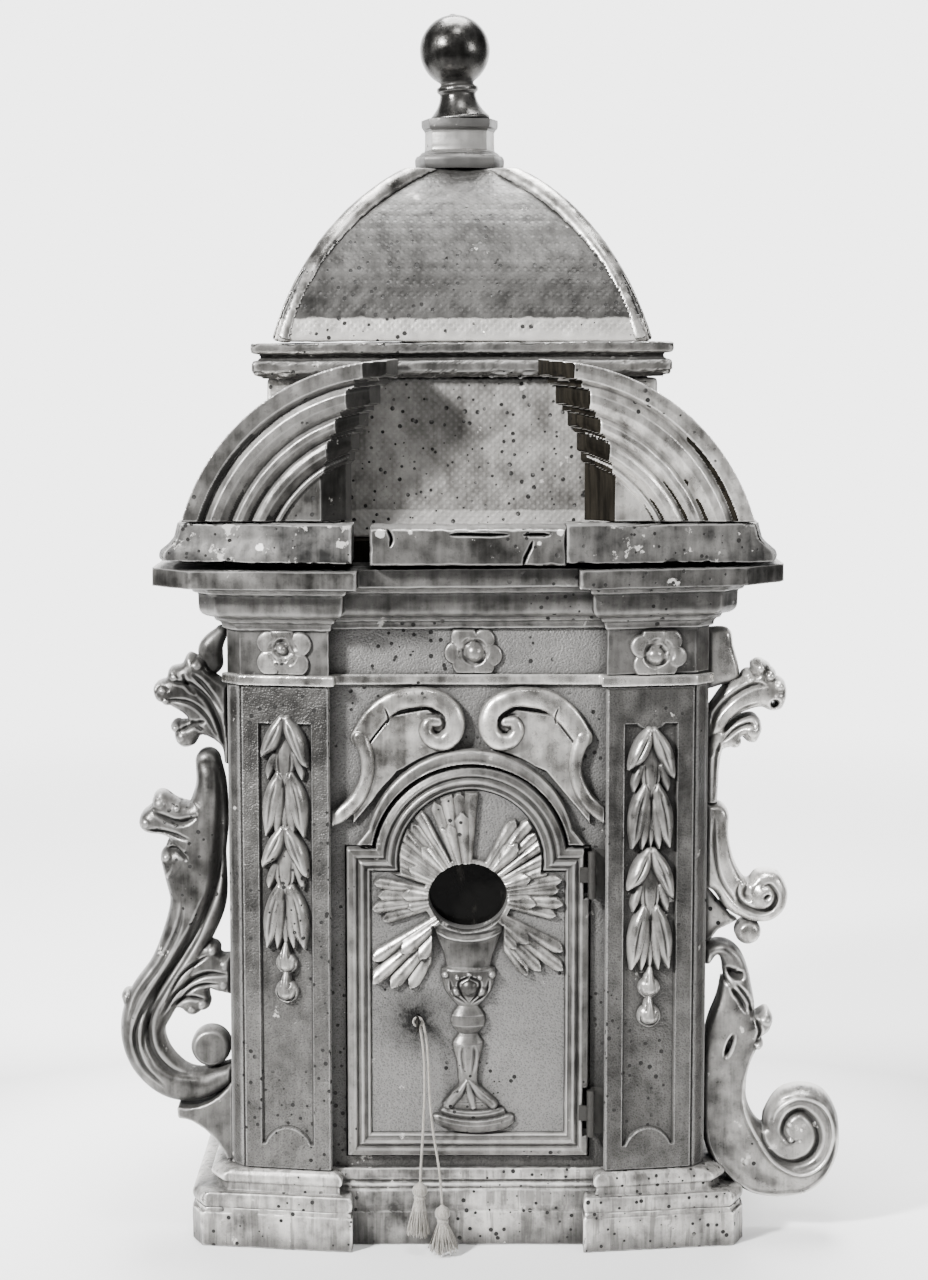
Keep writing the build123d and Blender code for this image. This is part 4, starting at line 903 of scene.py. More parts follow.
# The left scroll's band and tail: x, z, half-width and height. Its edge inside the curl and the sunk
# web between band and tail: x and z.
C_BAND = [(-81, 394, 8, 6.5), (-70, 409.5, 8.8, 7.5), (-57.5, 420, 8.4, 8.5), (-44, 424, 8, 9.5),
          (-27, 424, 7.6, 10.5), (-15, 417, 8, 11), (-10.6, 407.5, 8.2, 11.5), (-11.4, 397.5, 8, 11.5),
          (-18, 391.5, 7.2, 11), (-26.5, 392.3, 6, 10.5), (-31.4, 399, 5.2, 10), (-29, 405.8, 4.6, 9.5),
          (-22.4, 406.3, 4, 9)]
C_EDGE = [(-34, 411.5), (-27.5, 411.5), (-20.6, 410.4), (-17.6, 405), (-18.4, 399.6), (-22.6, 397.4),
          (-26.4, 399.4), (-26.6, 403)]
C_TAIL = [(-81, 394, 6.2, 8), (-76.2, 380, 5.4, 8.5), (-76.2, 365, 5, 9), (-83, 348.5, 5.6, 9),
          (-95, 336, 6, 9), (-105, 330.5, 5.4, 8)]
C_WEB = [(-74, 390), (-58, 411), (-30, 416), (-8, 400), (-10, 386), (-53, 368), (-87, 327), (-87, 341)]


def c_scroll(side, name):
    """A flat-banded C that curls in beside the middle line, its tail sweeping out along the arch."""
    c = Carving((-106, 322), (112, 436), 0.6)

    def turned(points):
        return [(2 * MIDDLE - p[0], *p[1:]) for p in points] if side > 0 else points

    c.plate(turned(C_WEB), 4.5)
    c.height -= 2.2 * np.exp(-((c.x - turned([(-44, 388)])[0][0]) ** 2 / 420 + (c.z - 390) ** 2 / 200))
    c.stroke(turned(C_TAIL), 0.22, 0.5)
    c.stroke(turned(C_BAND), 0.22, 0.5)
    c.groove(turned(C_EDGE), 1.1, 2.2)
    c.groove(turned([(-62.6, 418), (-60, 410), (-61, 403)]), 0.5, 2.4)
    arch = np.hypot(c.x - ARCH_X, c.z - ARCH_Z) - 87
    c.keep(np.minimum(np.minimum(arch, 103.5 - np.abs(c.x)), np.abs(c.x - MIDDLE) - 1.6))
    c.keep(np.maximum(c.z - 366, np.abs(c.x - 1) - 55 - (366 - c.z) * 0.72))
    piece = c.build(name, facing(0), back=0.4, round_over=1.4, hand=0.25, seed=30 + side)
    return dress(piece, LEAF_BRIGHT, name)


# For each side, the tips of the hanging leaves from the top down, then the two drops.
FESTOONS = {-1: ((358, 316, 274, 230), (222, 200)), 1: ((349, 307, 257, 214), (203, 181))}


def festoon(side, name):
    """Hanging leaves, pairs that spread over a pointed bud by turns with pairs of wings, and two drops."""
    tips, drops = FESTOONS[side]
    c = Carving((-24, drops[1] - 12), (24, tips[0] + 54), 0.55)
    c.stroke([(0, tips[0] + 50, 1.6, 3), (0, drops[0], 1.6, 3)])
    for number, tip in reversed(list(enumerate(tips))):
        if number % 2 == 0:
            c.stroke([(0, tip + 38, 3, 4), (0, tip + 27, 8, 5.5), (-0.5, tip + 15, 8.6, 6),
                      (0, tip + 5, 4.6, 5), (0, tip, 0.8, 3)], 0.35)
            c.grooves(
                (0.8, 1.2, [(-5, tip + 28), (-4, tip + 12), (-1, tip + 4)]),
                (0.8, 1.2, [(5, tip + 28), (4, tip + 12), (1, tip + 4)]))
            for turn in (-1, 1):
                low = 22 if turn < 0 else 15
                c.stroke([(turn * 2, tip + 51, 3.6, 8), (turn * 6, tip + 42, 6.4, 11),
                          (turn * 11, tip + 32, 6.2, 12), (turn * 15.5, tip + low + 4, 3.4, 9),
                          (turn * 17.5, tip + low, 1, 6)], 0.3, 0.6)
                c.groove([(turn * 3, tip + 48), (turn * 8, tip + 37), (turn * 14, tip + low + 5)], 1.2, 1.6)
                c.stroke([(turn * 8, tip + 24, 3, 6), (turn * 12, tip + 12, 3.4, 6),
                          (turn * 13, tip + 5, 1, 4)], 0.4, 0.6)
        else:
            for turn in (-1, 1):
                c.stroke([(turn * 4, tip + 50, 4.4, 7), (turn * 7.5, tip + 40, 6.6, 9),
                          (turn * 10, tip + 28, 7.6, 10), (turn * 12, tip + 15, 5.6, 9),
                          (turn * 14.5, tip + 4, 1.2, 6)], 0.4, 1.2)
                c.stroke([(turn * 3, tip + 40, 3, 6), (turn * 4.6, tip + 26, 4.6, 8),
                          (turn * 5.6, tip + 12, 3.6, 7.5), (turn * 6.5, tip + 3, 1, 5)], 0.4, 0.8)
                c.groove([(turn * 6, tip + 46), (turn * 10, tip + 30), (turn * 13, tip + 10)], 1.2, 1.8)
            c.stroke([(0, tip + 30, 1, 4), (0, tip + 16, 3.4, 6), (0, tip + 4, 1, 4)], 0.4)
    for drop, size in zip(drops, (8.6, 9.2)):
        c.disc(0, drop, size, 8, 0.35)
        c.stroke([(0, drop + 15, 2.4, 6), (-0.5, drop + 7, 4.4, 9), (0, drop - 1, 5.4, 10)], 0.4)
        c.grooves(
            (1.0, 3, [(-7.4, drop + 4), (-6, drop - 4), (0, drop - 6.8), (6, drop - 4), (7.4, drop + 4)]),
            (0.7, 1.6, [(-2.2, drop + 12), (-3, drop + 3)]),
            (0.7, 1.6, [(2.2, drop + 12), (3, drop + 3)]))
    c.keep(20.5 - np.abs(c.x))
    piece = c.build(name, canted(side, 2.5), back=-0.3, round_over=1.0, hand=0.3, seed=40 + side)
    return dress(piece, LEAF_CARVED, name)


# Each rosette's plane and middle, its lobes as place, radius and height, and its eye.
ROSETTES = (
    (canted(-1), 0, ((-1, 12.5, 8.5, 6), (-11.5, 7.5, 8, 5), (12, 6.5, 8.5, 5), (-10.5, -7.5, 9, 5.5),
                     (9.5, -8.5, 9, 5), (0, -8, 9, 4)), (-1, 3, 4.5, 7)),
    (facing(0), 4, ((-7, 11, 9, 7), (8, 9, 7.5, 5), (-13, -1, 8, 5), (13, -3, 8, 5), (-6, -9, 9, 5),
                    (7, -10, 8.5, 5)), (1, -0.5, 7.4, 8.5)),
    (canted(1), 4, ((-3, 12.5, 8.5, 7), (-12, 5, 8, 6.5), (10, 9, 8, 6), (14, -3, 7.5, 6.5),
                    (-8, -9, 9.5, 5), (6, -9.5, 9, 5)), (-2, -2, 7, 7.5)),
)
ROSETTE_Z = 459


def rosettes():
    """Three low flowers of uneven lobes on the frieze, joined as one piece."""
    made = []
    for number, (place, x, lobes, (eye_x, eye_z, eye, high)) in enumerate(ROSETTES):
        c = Carving((x - 24, 438), (x + 24, 480), 0.55)
        for dx, dz, radius, height in lobes:
            c.disc(x + dx, ROSETTE_Z + dz, radius + 1.2, 0.8 * height, 0.22, 1.6)
            c.groove([(x + 0.5 * dx, ROSETTE_Z + 0.5 * dz), (x + 0.9 * dx, ROSETTE_Z + 0.9 * dz)], 3.2, 1.5)
        c.disc(x, ROSETTE_Z, 9, 2.5, 0.3, 1.6)
        c.disc(x + eye_x, ROSETTE_Z + eye_z, eye, high, 0.45, 0.6)
        c.groove([(x + eye_x + (eye + 0.8) * cos(a), ROSETTE_Z + eye_z + (eye + 0.8) * sin(a))
                  for a in np.linspace(0, tau, 16)], 1.5, 1.8)
        c.keep(np.minimum(476.2 - c.z, c.z - 442.2))
        made.append(c.build(f"rosette_{number}", place, back=0.3, round_over=1.3, hand=0.15,
                            seed=50 + number))
    return dress(joined("rosettes_carved", made), LEAF_CARVED, "rosettes")


# Bundles of rays: direction and the length, half-width at the end and height of each ray in it.
BUNDLES = (
    (97, ((-12, 78, 5.4, 5), (-5, 86, 5.6, 6), (2, 82, 5.4, 5), (9, 87, 5.6, 6.4), (-7, 58, 6.4, 7.6),
          (3, 66, 7, 8.6))),
    (129, ((-13, 66, 5, 5), (-6, 75, 5.4, 6), (2, 71, 5.4, 5), (9, 78, 5, 6), (-3, 52, 7, 8))),
    (152, ((-7, 75, 5, 6), (0, 68, 5, 5), (6, 72, 4.6, 5.6), (-1, 50, 6, 7.4))),
    (183, ((-12, 68, 5.2, 5), (-4, 74, 5.4, 6), (4, 69, 5.6, 5), (12, 73, 5, 5.6), (-7, 46, 6, 7),
           (5, 50, 7, 8))),
    (224, ((-14, 84, 6, 5), (-6, 92, 6.4, 6), (2, 100, 6.6, 7.4), (10, 88, 6, 5.6), (-8, 60, 8, 8),
           (4, 66, 7.6, 9))),
    (45, ((-14, 70, 5.4, 5), (-6, 77, 5.4, 6.4), (2, 72, 5, 5), (9, 80, 5.4, 6.4), (-3, 56, 8, 8.6))),
    (19, ((-8, 70, 5, 5), (0, 66, 5, 5), (8, 73, 5.2, 6.4), (1, 50, 7, 8))),
    (-4, ((-9, 70, 5.4, 5.4), (0, 73, 5.6, 6.4), (8, 69, 4.8, 5), (1, 52, 7.4, 8.4))),
    (-42, ((-12, 84, 5.8, 5), (-4, 92, 6, 6.4), (4, 80, 5.6, 5), (11, 76, 5.2, 6), (-5, 58, 7.6, 8),
           (5, 54, 6, 7))),
)


def oculus_edge(c, grow=0.0):
    """How far outside the oculus a place is."""
    a, b = OCULUS_HALF[0] + grow, OCULUS_HALF[1] + grow
    share = np.hypot((c.x - OCULUS_X) / a, (c.z - OCULUS_Z) / b)
    return (share - 1) * (a + b) / 2


def door_field(c, inset=FIELD_INSET):
    """How far inside the door's outline, drawn in by an inset, a place is."""
    upright = np.minimum(c.z - DOOR_LOW - inset, DOOR_SHOULDER - inset - c.z)
    box = np.minimum(DOOR_HALF - inset - np.abs(c.x), upright)
    arch = ARCH - inset - np.hypot(c.x - ARCH_X, c.z - ARCH_Z)
    return np.maximum(box, arch)


def sun_rays():
    c = Carving((-75, 196), (77, 358), 0.6)
    c.raise_to(4.2 - np.abs(oculus_edge(c)), 3.4 + 0 * c.x, 0.3)
    for direction, rays in BUNDLES:
        spread = [radians(direction - offset) for offset, *_ in (rays[0], rays[-3])]
        c.plate([(OCULUS_X + far * cos(angle), OCULUS_Z + far * sin(angle))
                 for far, angle in ((26, spread[0]), (62, spread[0]), (62, spread[1]), (26, spread[1]))], 2.4)
        for offset, reach, width, height in rays:
            angle = radians(direction - offset)
            way = np.array((cos(angle), sin(angle)))
            start = np.array((OCULUS_X, OCULUS_Z)) + way * 20
            end = np.array((OCULUS_X, OCULUS_Z)) + way * reach
            c.wedge(start, end, (2.2, width), (height * 0.75, height))
    c.keep(np.minimum(oculus_edge(c), door_field(c)))
    c.keep(np.maximum(np.abs(c.x) - 27, c.z - 250))
    piece = c.build("sun_rays_carved", facing(-2), back=0.4, round_over=0.8, hand=0.35, seed=60)
    return dress(piece, LEAF_RAYS, "sun_rays")


# The chalice's half-width at heights, and its relief at heights.
CHALICE = ((91, 26), (93, 31), (98.5, 31.5), (100.6, 29.5), (101.4, 25.5), (105.5, 25), (107.6, 23),
           (108.4, 18.5), (113, 15.5), (118, 11), (122, 8.6), (127, 7.6), (135, 8), (145, 9), (154, 11.4),
           (160, 12), (164, 9.4), (166.5, 7.6), (169, 10), (173, 13), (177, 13.6), (181, 13), (185, 10.5),
           (188, 8), (192, 12.5), (200, 18), (210, 20.5), (217, 21), (218.5, 17), (226, 18.5),
           (240, 23.5), (246, 26), (250, 26.5))
CHALICE_HEIGHT = ((91, 5), (97, 8.5), (100.6, 8), (101.4, 5), (105, 7.6), (107.6, 7), (108.4, 4.6),
                  (114, 7), (126, 6), (158, 9), (164, 6.5), (166.5, 4.5), (173, 9), (181, 9), (188, 5),
                  (205, 10), (216, 10), (219, 7.5), (240, 8), (250, 8.5))


def chalice():
    """Half-round chalice under the oculus, with a leaf cup, knop, stem and stepped foot."""
    c = Carving((-38, 88), (40, 254), 0.6)
    levels, halves = np.array(CHALICE, float).T
    tall, heights = np.array(CHALICE_HEIGHT, float).T
    middle = np.interp(c.z, (91, 130, 250), (6, 0, 0.5))
    bow = np.where(c.z < 112, (1 - ((c.x - middle) / 30) ** 2) * 5 - 3, 0)
    half = np.interp(c.z + bow, levels, halves)
    across = np.abs(c.x - middle) / half
    height = np.interp(c.z + bow, tall, heights) * np.sqrt(np.clip(1 - across**2, 0, 1)) ** 0.7
    c.raise_to(np.minimum(half * (1 - across), c.z + bow - 90), height, 0.3)
    for x, z, r, h in ((1, 203, 8.5, 12), (-9, 200, 5, 11), (10, 200, 5, 11), (-17, 213, 4, 10),
                       (18, 213, 4, 10), (-8, 211, 3.5, 11), (9, 211, 3.5, 11), (1, 213, 3.5, 12)):
        c.disc(x, z, r, h, 0.4, 0.5)
    c.grooves(
        (0.9, 2.4, [(1, 190), (-5, 198), (-7, 207), (-1, 211), (1, 214)]),
        (0.9, 2.4, [(1, 190), (7, 198), (9, 207), (3, 211), (1, 214)]),
        (0.9, 2, [(-1, 190), (-11, 198), (-14, 210)]),
        (0.9, 2, [(3, 190), (13, 198), (16, 210)]))
    c.ridge([(-26, 246), (-14, 241), (0, 239.5), (14, 241), (27, 246)], 1.0, 1.6)
    c.groove([(-24, 249), (-12, 245), (0, 243.5), (14, 245), (25, 249)], 1.8, 2.2)
    c.stroke([(-1, 130, 2.5, 7.5), (-7, 120, 4.6, 8.6), (-15, 111, 4.6, 7.4)], 0.5)
    c.stroke([(1, 130, 2.5, 7.5), (9, 120, 4.6, 8.6), (19, 111, 4.6, 7.4)], 0.5)
    c.stroke([(0, 128, 3, 8), (2, 118, 4.6, 9.4), (4, 110, 4, 8)], 0.5)
    c.grooves(
        (1.4, 1.6, [(-4, 158), (-4.6, 148), (-2.6, 134)]),
        (1.4, 1.6, [(4.4, 158), (4.8, 148), (2.8, 134)]))
    c.keep(oculus_edge(c))
    piece = c.build("chalice_carved", facing(-2), back=0.4, round_over=1.2, hand=0.15, seed=70)
    return dress(piece, LEAF, "chalice")


def profile(value, points):
    """Height across a moulding, from rows of distance and height."""
    across, heights = np.array(points, float).T
    return np.interp(value, across, heights)


# Across the door's frame from its outer edge, and across the archivolt from its top: distance, height.
FRAME_BAND = 19
FRAME_PROFILE = ((0, 4.5), (1.6, 7.6), (5.8, 9.4), (7.2, 9), (8.5, 6.6), (9.3, 6.8), (10.8, 9.2), (12, 10),
                 (13.4, 9.2), (14.8, 6.4), (15.6, 6.1), (16.6, 6.8), (17.6, 6.2), (FRAME_BAND, 3.4))
ARCHIVOLT = ((0, 5), (0.8, 8.5), (2.5, 9.6), (4, 8.8), (7, 8), (9.4, 8.2), (10.4, 9.6))


def door_frame():
    """The door's moulded edge: a bevel, a quirk, a bold round and a bead at the sunk field."""
    c = Carving((-94, 67), (94, 374), 0.65)
    inside = door_field(c, 0)
    c.inside = np.minimum(inside, FRAME_BAND - inside)
    c.height = profile(inside, FRAME_PROFILE)
    for z in HINGE_HEIGHTS:
        c.keep(np.maximum(88 - c.x, np.abs(c.z - z) - 18.5))
    piece = c.build("door_frame", facing(2), back=-9.6, round_over=0.9, hand=0.12, seed=75)
    return dress(piece, LEAF_FRAME, "door_frame")


def archivolt():
    """The fixed band that follows the door's arch and spreads at its feet."""
    c = Carving((-90, 308), (92, 388), 0.65)
    radius = np.hypot(c.x - ARCH_X, c.z - ARCH_Z)
    foot = (341 - 1.28 * np.clip(np.abs(c.x - ARCH_X) - 65, 0, 40) - c.z) * 0.62
    rise = np.clip((c.z - ARCH_Z) / radius, 0, 1)
    outer = np.maximum(79.5 + 7 * rise - radius, np.minimum(foot, 88 - np.abs(c.x - 1)))
    door_side = -door_field(c, -1.5)
    c.inside = np.minimum(np.minimum(outer, door_side), c.z - 312)
    c.height = profile(np.maximum(outer, 0), ARCHIVOLT)
    piece = c.build("archivolt", facing(0), back=0.3, round_over=0.9, hand=0.2, seed=77)
    return dress(piece, LEAF_FRAME, "archivolt")


RECESS_LOW, RECESS_TOP, RECESS_HALF = 80, 405, 20
FACE_HALF, FACE_LOW, FACE_TOP = 33.9, PEDESTAL_TOP + 0.4, ASTRAGAL_LOW - 0.4


def pilaster(side, name):
    """A canted pilaster with a sunk panel, lobed at both ends, on its face."""
    c = Carving((-34, FACE_LOW), (34, FACE_TOP), 0.7)
    panel = np.minimum(RECESS_HALF - np.abs(c.x), np.minimum(c.z - RECESS_LOW, RECESS_TOP - c.z))
    lobe = np.hypot(c.x, (c.z - RECESS_LOW + 8) * 0.9) - 19
    drape = np.hypot(c.x * 0.75, c.z - RECESS_TOP - 5) - 9.5
    panel = np.minimum(panel, np.minimum(lobe, drape))
    lip = 0.35 * np.exp(-((panel + 0.6) / 0.7) ** 2)
    c.inside = np.minimum(FACE_HALF - np.abs(c.x), np.minimum(c.z - FACE_LOW, FACE_TOP - c.z))
    c.height = 3.6 - 2.5 * np.clip(panel / 1.0 + 0.3, 0, 1) - 0.5 * np.clip(panel / 9, 0, 1) + lip
    face = c.build(name + "_face", canted(side, 3.6), back=0.0, round_over=1.1, hand=0.25, seed=90 + side)
    plan = mirrored([(PILASTER_IN, 0), (PILASTER_IN, -10.6), (PILASTER_OUT, 1), (PILASTER_OUT + 0.8, -2.1),
                     (HALF_WIDTH, CORNER), (SIDE_IN, CORNER), (SIDE_IN, 0)], side)
    core = moulded(name, LEAF_GROUND, [(PEDESTAL_TOP, 0), (ASTRAGAL_LOW, 0)], lambda reach: plan, 3.0, 0.1, 0,
                   95 + side, loose=True)
    return dress(joined(name + "_carved", [core, face]), LEAF_GROUND, name)


# Across the pediment's mouldings, radius and how far back the surface lies.
PEDIMENT = ((0, 25), (90, 22), (96.5, 21), (98, 18.8), (100.4, 18), (102.4, 20.8), (104.4, 18), (108, 14),
            (112, 13), (115, 14), (117.4, 16.8), (119.6, 13.5), (123, 10.6), (127, 10.5), (130.2, 13.4),
            (133, 10), (138, 6), (144, 5), (147, 7), (150, 8.8), (152.8, 2.6), (158, 0.8), (164, 0.2),
            (165, 1.2))
# From each radius outwards, how far towards the middle that moulding runs.
PEDIMENT_ENDS = ((0, 112), (97.5, 109), (103.5, 106), (116, 103), (119, 99), (129, 95), (133, 90), (147, 84),
                 (152.5, 77))
PEDIMENT_CENTRE = (56, -53, 512)
PEDIMENT_RADIUS = 165
PEDIMENT_THICK = 60
PEDIMENT_SLOPE = 23 / 139  # how much its face turns back for each millimetre outwards


def pediment(side, name):
    """One half of the broken pediment, its mouldings cut off in steps towards the middle."""
    c = Carving((-40 if side > 0 else -168, CROWN_TOP), (168 if side > 0 else 40, 680), 0.75)
    slope = side * PEDIMENT_SLOPE
    size = np.hypot(1, slope)
    radius = np.hypot(c.x, c.z - PEDIMENT_CENTRE[2])
    out = side * c.x / size + PEDIMENT_CENTRE[0]
    starts, ends = np.array(PEDIMENT_ENDS, float).T
    short = ends[np.searchsorted(starts, radius, side="right") - 1] - out
    c.inside = np.minimum(np.minimum(PEDIMENT_RADIUS - radius, 15 - short), c.z - CROWN_TOP)
    c.height = PEDIMENT_THICK - profile(radius, PEDIMENT) - 1.6 * np.clip(short, 0, None)

    def place(u, z, height):
        x = side * PEDIMENT_CENTRE[0] + (u + (height - PEDIMENT_THICK) * slope) / size
        y = PEDIMENT_CENTRE[1] + (u * slope - (height - PEDIMENT_THICK)) / size
        return at(x, y if height > 0 else 8, z)

    piece = c.build(name, place, floor=0.0, back=0.0, round_over=1.0, hand=0.3, seed=110 + side)
    # Painted light: the right half wears the lit copy of the leaf and the left half the shaded copy. The
    # faces turned to the middle get near-black wood on the right and, on the left, a dark leaf painted as
    # shade.
    dress(piece, LEAF_LIT_PEDIMENT if side > 0 else LEAF_SHADED, name)
    piece.data.materials.append(DARK_WOOD if side > 0 else LEAF_LANTERN)
    inward = np.empty(len(piece.data.polygons) * 3)
    piece.data.polygons.foreach_get("normal", inward)
    inward_end = -side * inward[::3] > 0.55
    piece.data.polygons.foreach_set("material_index", inward_end.astype(np.int32))
    return piece


# Splits in the crown's middle block: along its top edge, and a crack down its right end.
SPLITS = (((-14, 550), (-4, 550.4), (14, 550), (30, 550.3)), ((40, 550), (50, 550.2), (60, 550)),
          ((47, 546), (45, 540), (42, 534), (40, 526)), ((-60, 556), (-56, 548), (-57, 541)))


def crown_middle():
    """The crown's middle block, split along its top edge and cracked at its right end."""
    c = Carving((-74, 525), (74, 557), 0.6)
    c.plate([(-72, 527), (72, 527), (72, 555), (-72, 555)], 8)
    for line in SPLITS:
        c.groove(line, 0.9, 8)
    flat = np.column_stack([c.x.ravel(), c.z.ravel(), 0 * c.x.ravel()])
    c.keep(c.inside - np.clip(waves(flat, 9, 61), 0, 1).reshape(c.x.shape))
    piece = c.build("crown_fascia_centre_carved", facing(0), floor=40, back=0, round_over=1.8, hand=0.35,
                    seed=62)
    return dress(piece, LEAF_MIDDLE, "crown_fascia_centre")


# ---------------------------------------------------------------- mouldings

# Each moulding's levels: height and reach, the share by which its plan has grown.
PEDESTAL = [(0, 1), (26.7, 1), (26.7, 0.93), (30.7, 0.92), *half_round(30.7, 42.4, 0.84, 1.0), (42.4, 0.6),
            (43.6, 0.4), (47.5, 0.38), (48.9, 0.38), (50.4, 0.5), (53, 0.54), (56, 0.48), (58.5, 0.34),
            (PEDESTAL_TOP, 0.13)]
PLINTH = [(0, 1), (27, 1), (27, 0.8), (30.5, 0.8), (31, 0.95), (43.6, 0.9), (44.6, 0.5), (46, 0.72),
          (48.4, 0.72), (49, 0.3), (50.6, 0.3), (51.2, 0.62), (55.5, 0.72), (PEDESTAL_TOP, 0.45)]
CORNICE = [(ASTRAGAL_TOP, 0), (FRIEZE_TOP, 0), (FRIEZE_TOP, 0.08), (480, 0.09), (482.5, 0.14), (482.5, 0.2),
           (486.3, 0.24), *quarter_round(486.3, 493.5, 0.27, 0.5), (504.5, 0.51), (505, 0.6), (508, 0.63),
           (SLAB_LOW, 0.74)]
SLAB = [(SLAB_LOW, 1), (SLAB_TOP, 1)]
FASCIA = [(529, 0.92), (532, 1), (536, 0.9), (541, 0.5), (546, 0.2), (CROWN_TOP, 0)]
DOME_FOOT = [(662.6, 0.2), (664.4, 0.25), (664.6, 0.62), (666.2, 0.7), (667, 0.9), (675, 0.92), (676, 0.75),
             (676.4, 0.45), (680.5, 0.3), (681.2, 0.9), (683, 1), (688, 1), (689.4, 0.94)]
# The lantern under the ball: height and half-width.
BALL_FOOT = [(824, 35), (827, 36.6), (832, 36.9), (835, 35.2), (835.2, 33.4), (838, 31), (838.3, 28.8),
             (853.6, 28.6), (854, 29.6), (855.4, 29.8), (855.8, 31.2), (858.5, 31.6), (863, 31.5)]
DADO = (0.838, 0.8535)
SLAB_HALF = 236
CORNICE_GROWS = 22.6  # how far the cornice's inner return grows past the pilaster's inner edge
BALL_X = -6.5


def outer_corners(outer, corner):
    """The rest of a side block's plan: back along the cabinet's side to its rear, and in."""
    return [(outer, corner), (outer, DEPTH), (HALF_WIDTH, DEPTH), (HALF_WIDTH, CORNER), (SIDE_IN, CORNER),
            (SIDE_IN, 0)]


def pedestal_plan(side, reach):
    inner = PILASTER_IN - 16 * reach
    front = [(inner, 0), (inner, -14 - 11 * reach), (PILASTER_OUT + 33 * reach, -2.5 - 6 * reach)]
    return mirrored(front + outer_corners(HALF_WIDTH + 31 * reach, CORNER - 2 * reach), side)


def plinth_plan(reach):
    front = -1.5 - 5 * reach
    return [(-PILASTER_IN, 0), (PILASTER_IN, 0), (PILASTER_IN, front), (-PILASTER_IN, front)]


def cornice_plan(side, reach):
    inner = PILASTER_IN - CORNICE_GROWS * reach
    front = [(inner, 0), (inner, -14 - 41 * reach), (PILASTER_OUT + 34 * reach, -2.5 - 32.5 * reach)]
    return mirrored(front + outer_corners(HALF_WIDTH + 40 * reach, CORNER - 22 * reach), side)


def cornice_centre_plan(reach):
    half = PILASTER_IN - CORNICE_GROWS * reach
    return [(-half, 0), (half, 0), (half, -1 - 32 * reach), (-half, -1 - 32 * reach)]


def slab_plan(side):
    inner = PILASTER_IN - CORNICE_GROWS
    return mirrored([(inner, 0), (inner, -55), (205, -35), (SLAB_HALF, -3), (SLAB_HALF, DEPTH),
                     (HALF_WIDTH, DEPTH), (HALF_WIDTH, 0)], side)


def fascia_plan(side, reach):
    outer = 211.5 + 15 * reach
    inner = 72 if side > 0 else 85  # a break stands open beside the middle block
    return mirrored([(inner, 0), (inner, -50), (outer, -27 - reach), (outer + 4, -8), (outer + 4, 285),
                     (200, 285), (200, 0)], side)


def rectangle(x, half, deep):
    """A rectangular plan round a place on the dome's middle line."""
    return [(x - half, DOME_Y - deep), (x + half, DOME_Y - deep), (x + half, DOME_Y + deep),
            (x - half, DOME_Y + deep)]


def dome_foot_plan(reach):
    return rectangle(CROWN_X, 147 + 11 * reach, DOME_Y - 25 + 11 * reach)


def square_plan(reach):
    return rectangle(BALL_X, reach, reach)


LIFT = 0.007  # the old cornice climbs a little to the right


def mouldings():
    """Every moulded block, each from its own profile and plan."""
    for number, (side, hand) in enumerate(HANDS):
        fixed = lambda plan: lambda reach: plan(side, reach)
        moulded(f"pedestal_{hand}", LEAF_BASE, PEDESTAL, fixed(pedestal_plan), 1.5, 0.3, 1.1, 130 + number)
        slab = slab_plan(side)
        parts = [moulded(f"cornice_{hand}", LEAF, CORNICE, fixed(cornice_plan), 1.5, 0.2, 0.5, 140 + number,
                         LIFT, True),
                 moulded(f"slab_{hand}", LEAF, [(SLAB_LOW, 0), (SLAB_TOP, 0)], lambda reach: slab, 1.5, 0.25,
                         0.9, 150 + number, LIFT, True)]
        dress(joined(f"cornice_{hand}_moulded", parts), LEAF, f"cornice_{hand}")
        moulded(f"crown_fascia_{hand}", LEAF_CHIPPED, FASCIA, fixed(fascia_plan), 1.4, 0.4,
                3.2 if side > 0 else 1.8, 160 + number)
    moulded("plinth_centre", LEAF_BASE, PLINTH, plinth_plan, 1.4, 0.25, 0.5, 170)
    moulded("cornice_centre", LEAF, [*CORNICE[1:], *SLAB], cornice_centre_plan, 1.4, 0.2, 0.4, 172, LIFT)
    moulded("dome_cornice", LEAF, DOME_FOOT, dome_foot_plan, 1.6, 0.4, 2.4, 174, 0.006)
    lantern = moulded("finial_pedestal", LEAF_LANTERN, BALL_FOOT, square_plan, 1.1, 0.25, 0.8, 176)
    lantern.data.materials.append(LEAF_FRAME)
    for panel in lantern.data.polygons:
        # the dado is paler than its mouldings
        panel.material_index = int(DADO[0] < panel.center.z < DADO[1])


# ---------------------------------------------------------------- cord and tassels

TAILS = {
    "left": [(-36.4, -15.2, 174.6), (-33.6, -16.6, 159), (-32.6, -18, 131), (-33.4, -19.4, 109),
             (-34.4, -21, 89), (-35.8, -24.2, 68), (-36.1, -26.4, 56.5)],
    "right": [(-34.4, -15.2, 178.5), (-31.4, -16.8, 167), (-29.8, -18.4, 146), (-29.2, -19.8, 123),
              (-27.6, -21.2, 102), (-25, -23.4, 85), (-22, -25.6, 68), (-20.4, -26.8, 51),
              (-19.6, -27.4, 38.8)],
}
CORD = 2.0
TASSELS = {"left": (10, 14, 3), "right": (12.5, 2.5, -2)}


def route_points(route):
    """The smooth line of a cord's route, read from its spline."""
    spline_data = bpy.data.curves.new("route", "CURVE")
    spline_data.dimensions = "3D"
    spline = spline_data.splines.new("NURBS")
    spline.points.add(len(route) - 1)
    for point, place in zip(spline.points, route):
        point.co = (*at(*place), 1)
    spline.order_u = 3
    spline.use_endpoint_u = True
    spline.resolution_u = 24
    holder = bpy.data.objects.new("route", spline_data)
    SCENE.collection.objects.link(holder)
    graph = bpy.context.evaluated_depsgraph_get()
    mesh = bpy.data.meshes.new_from_object(holder.evaluated_get(graph))
    points = positions(mesh)
    bpy.data.objects.remove(holder)
    return points


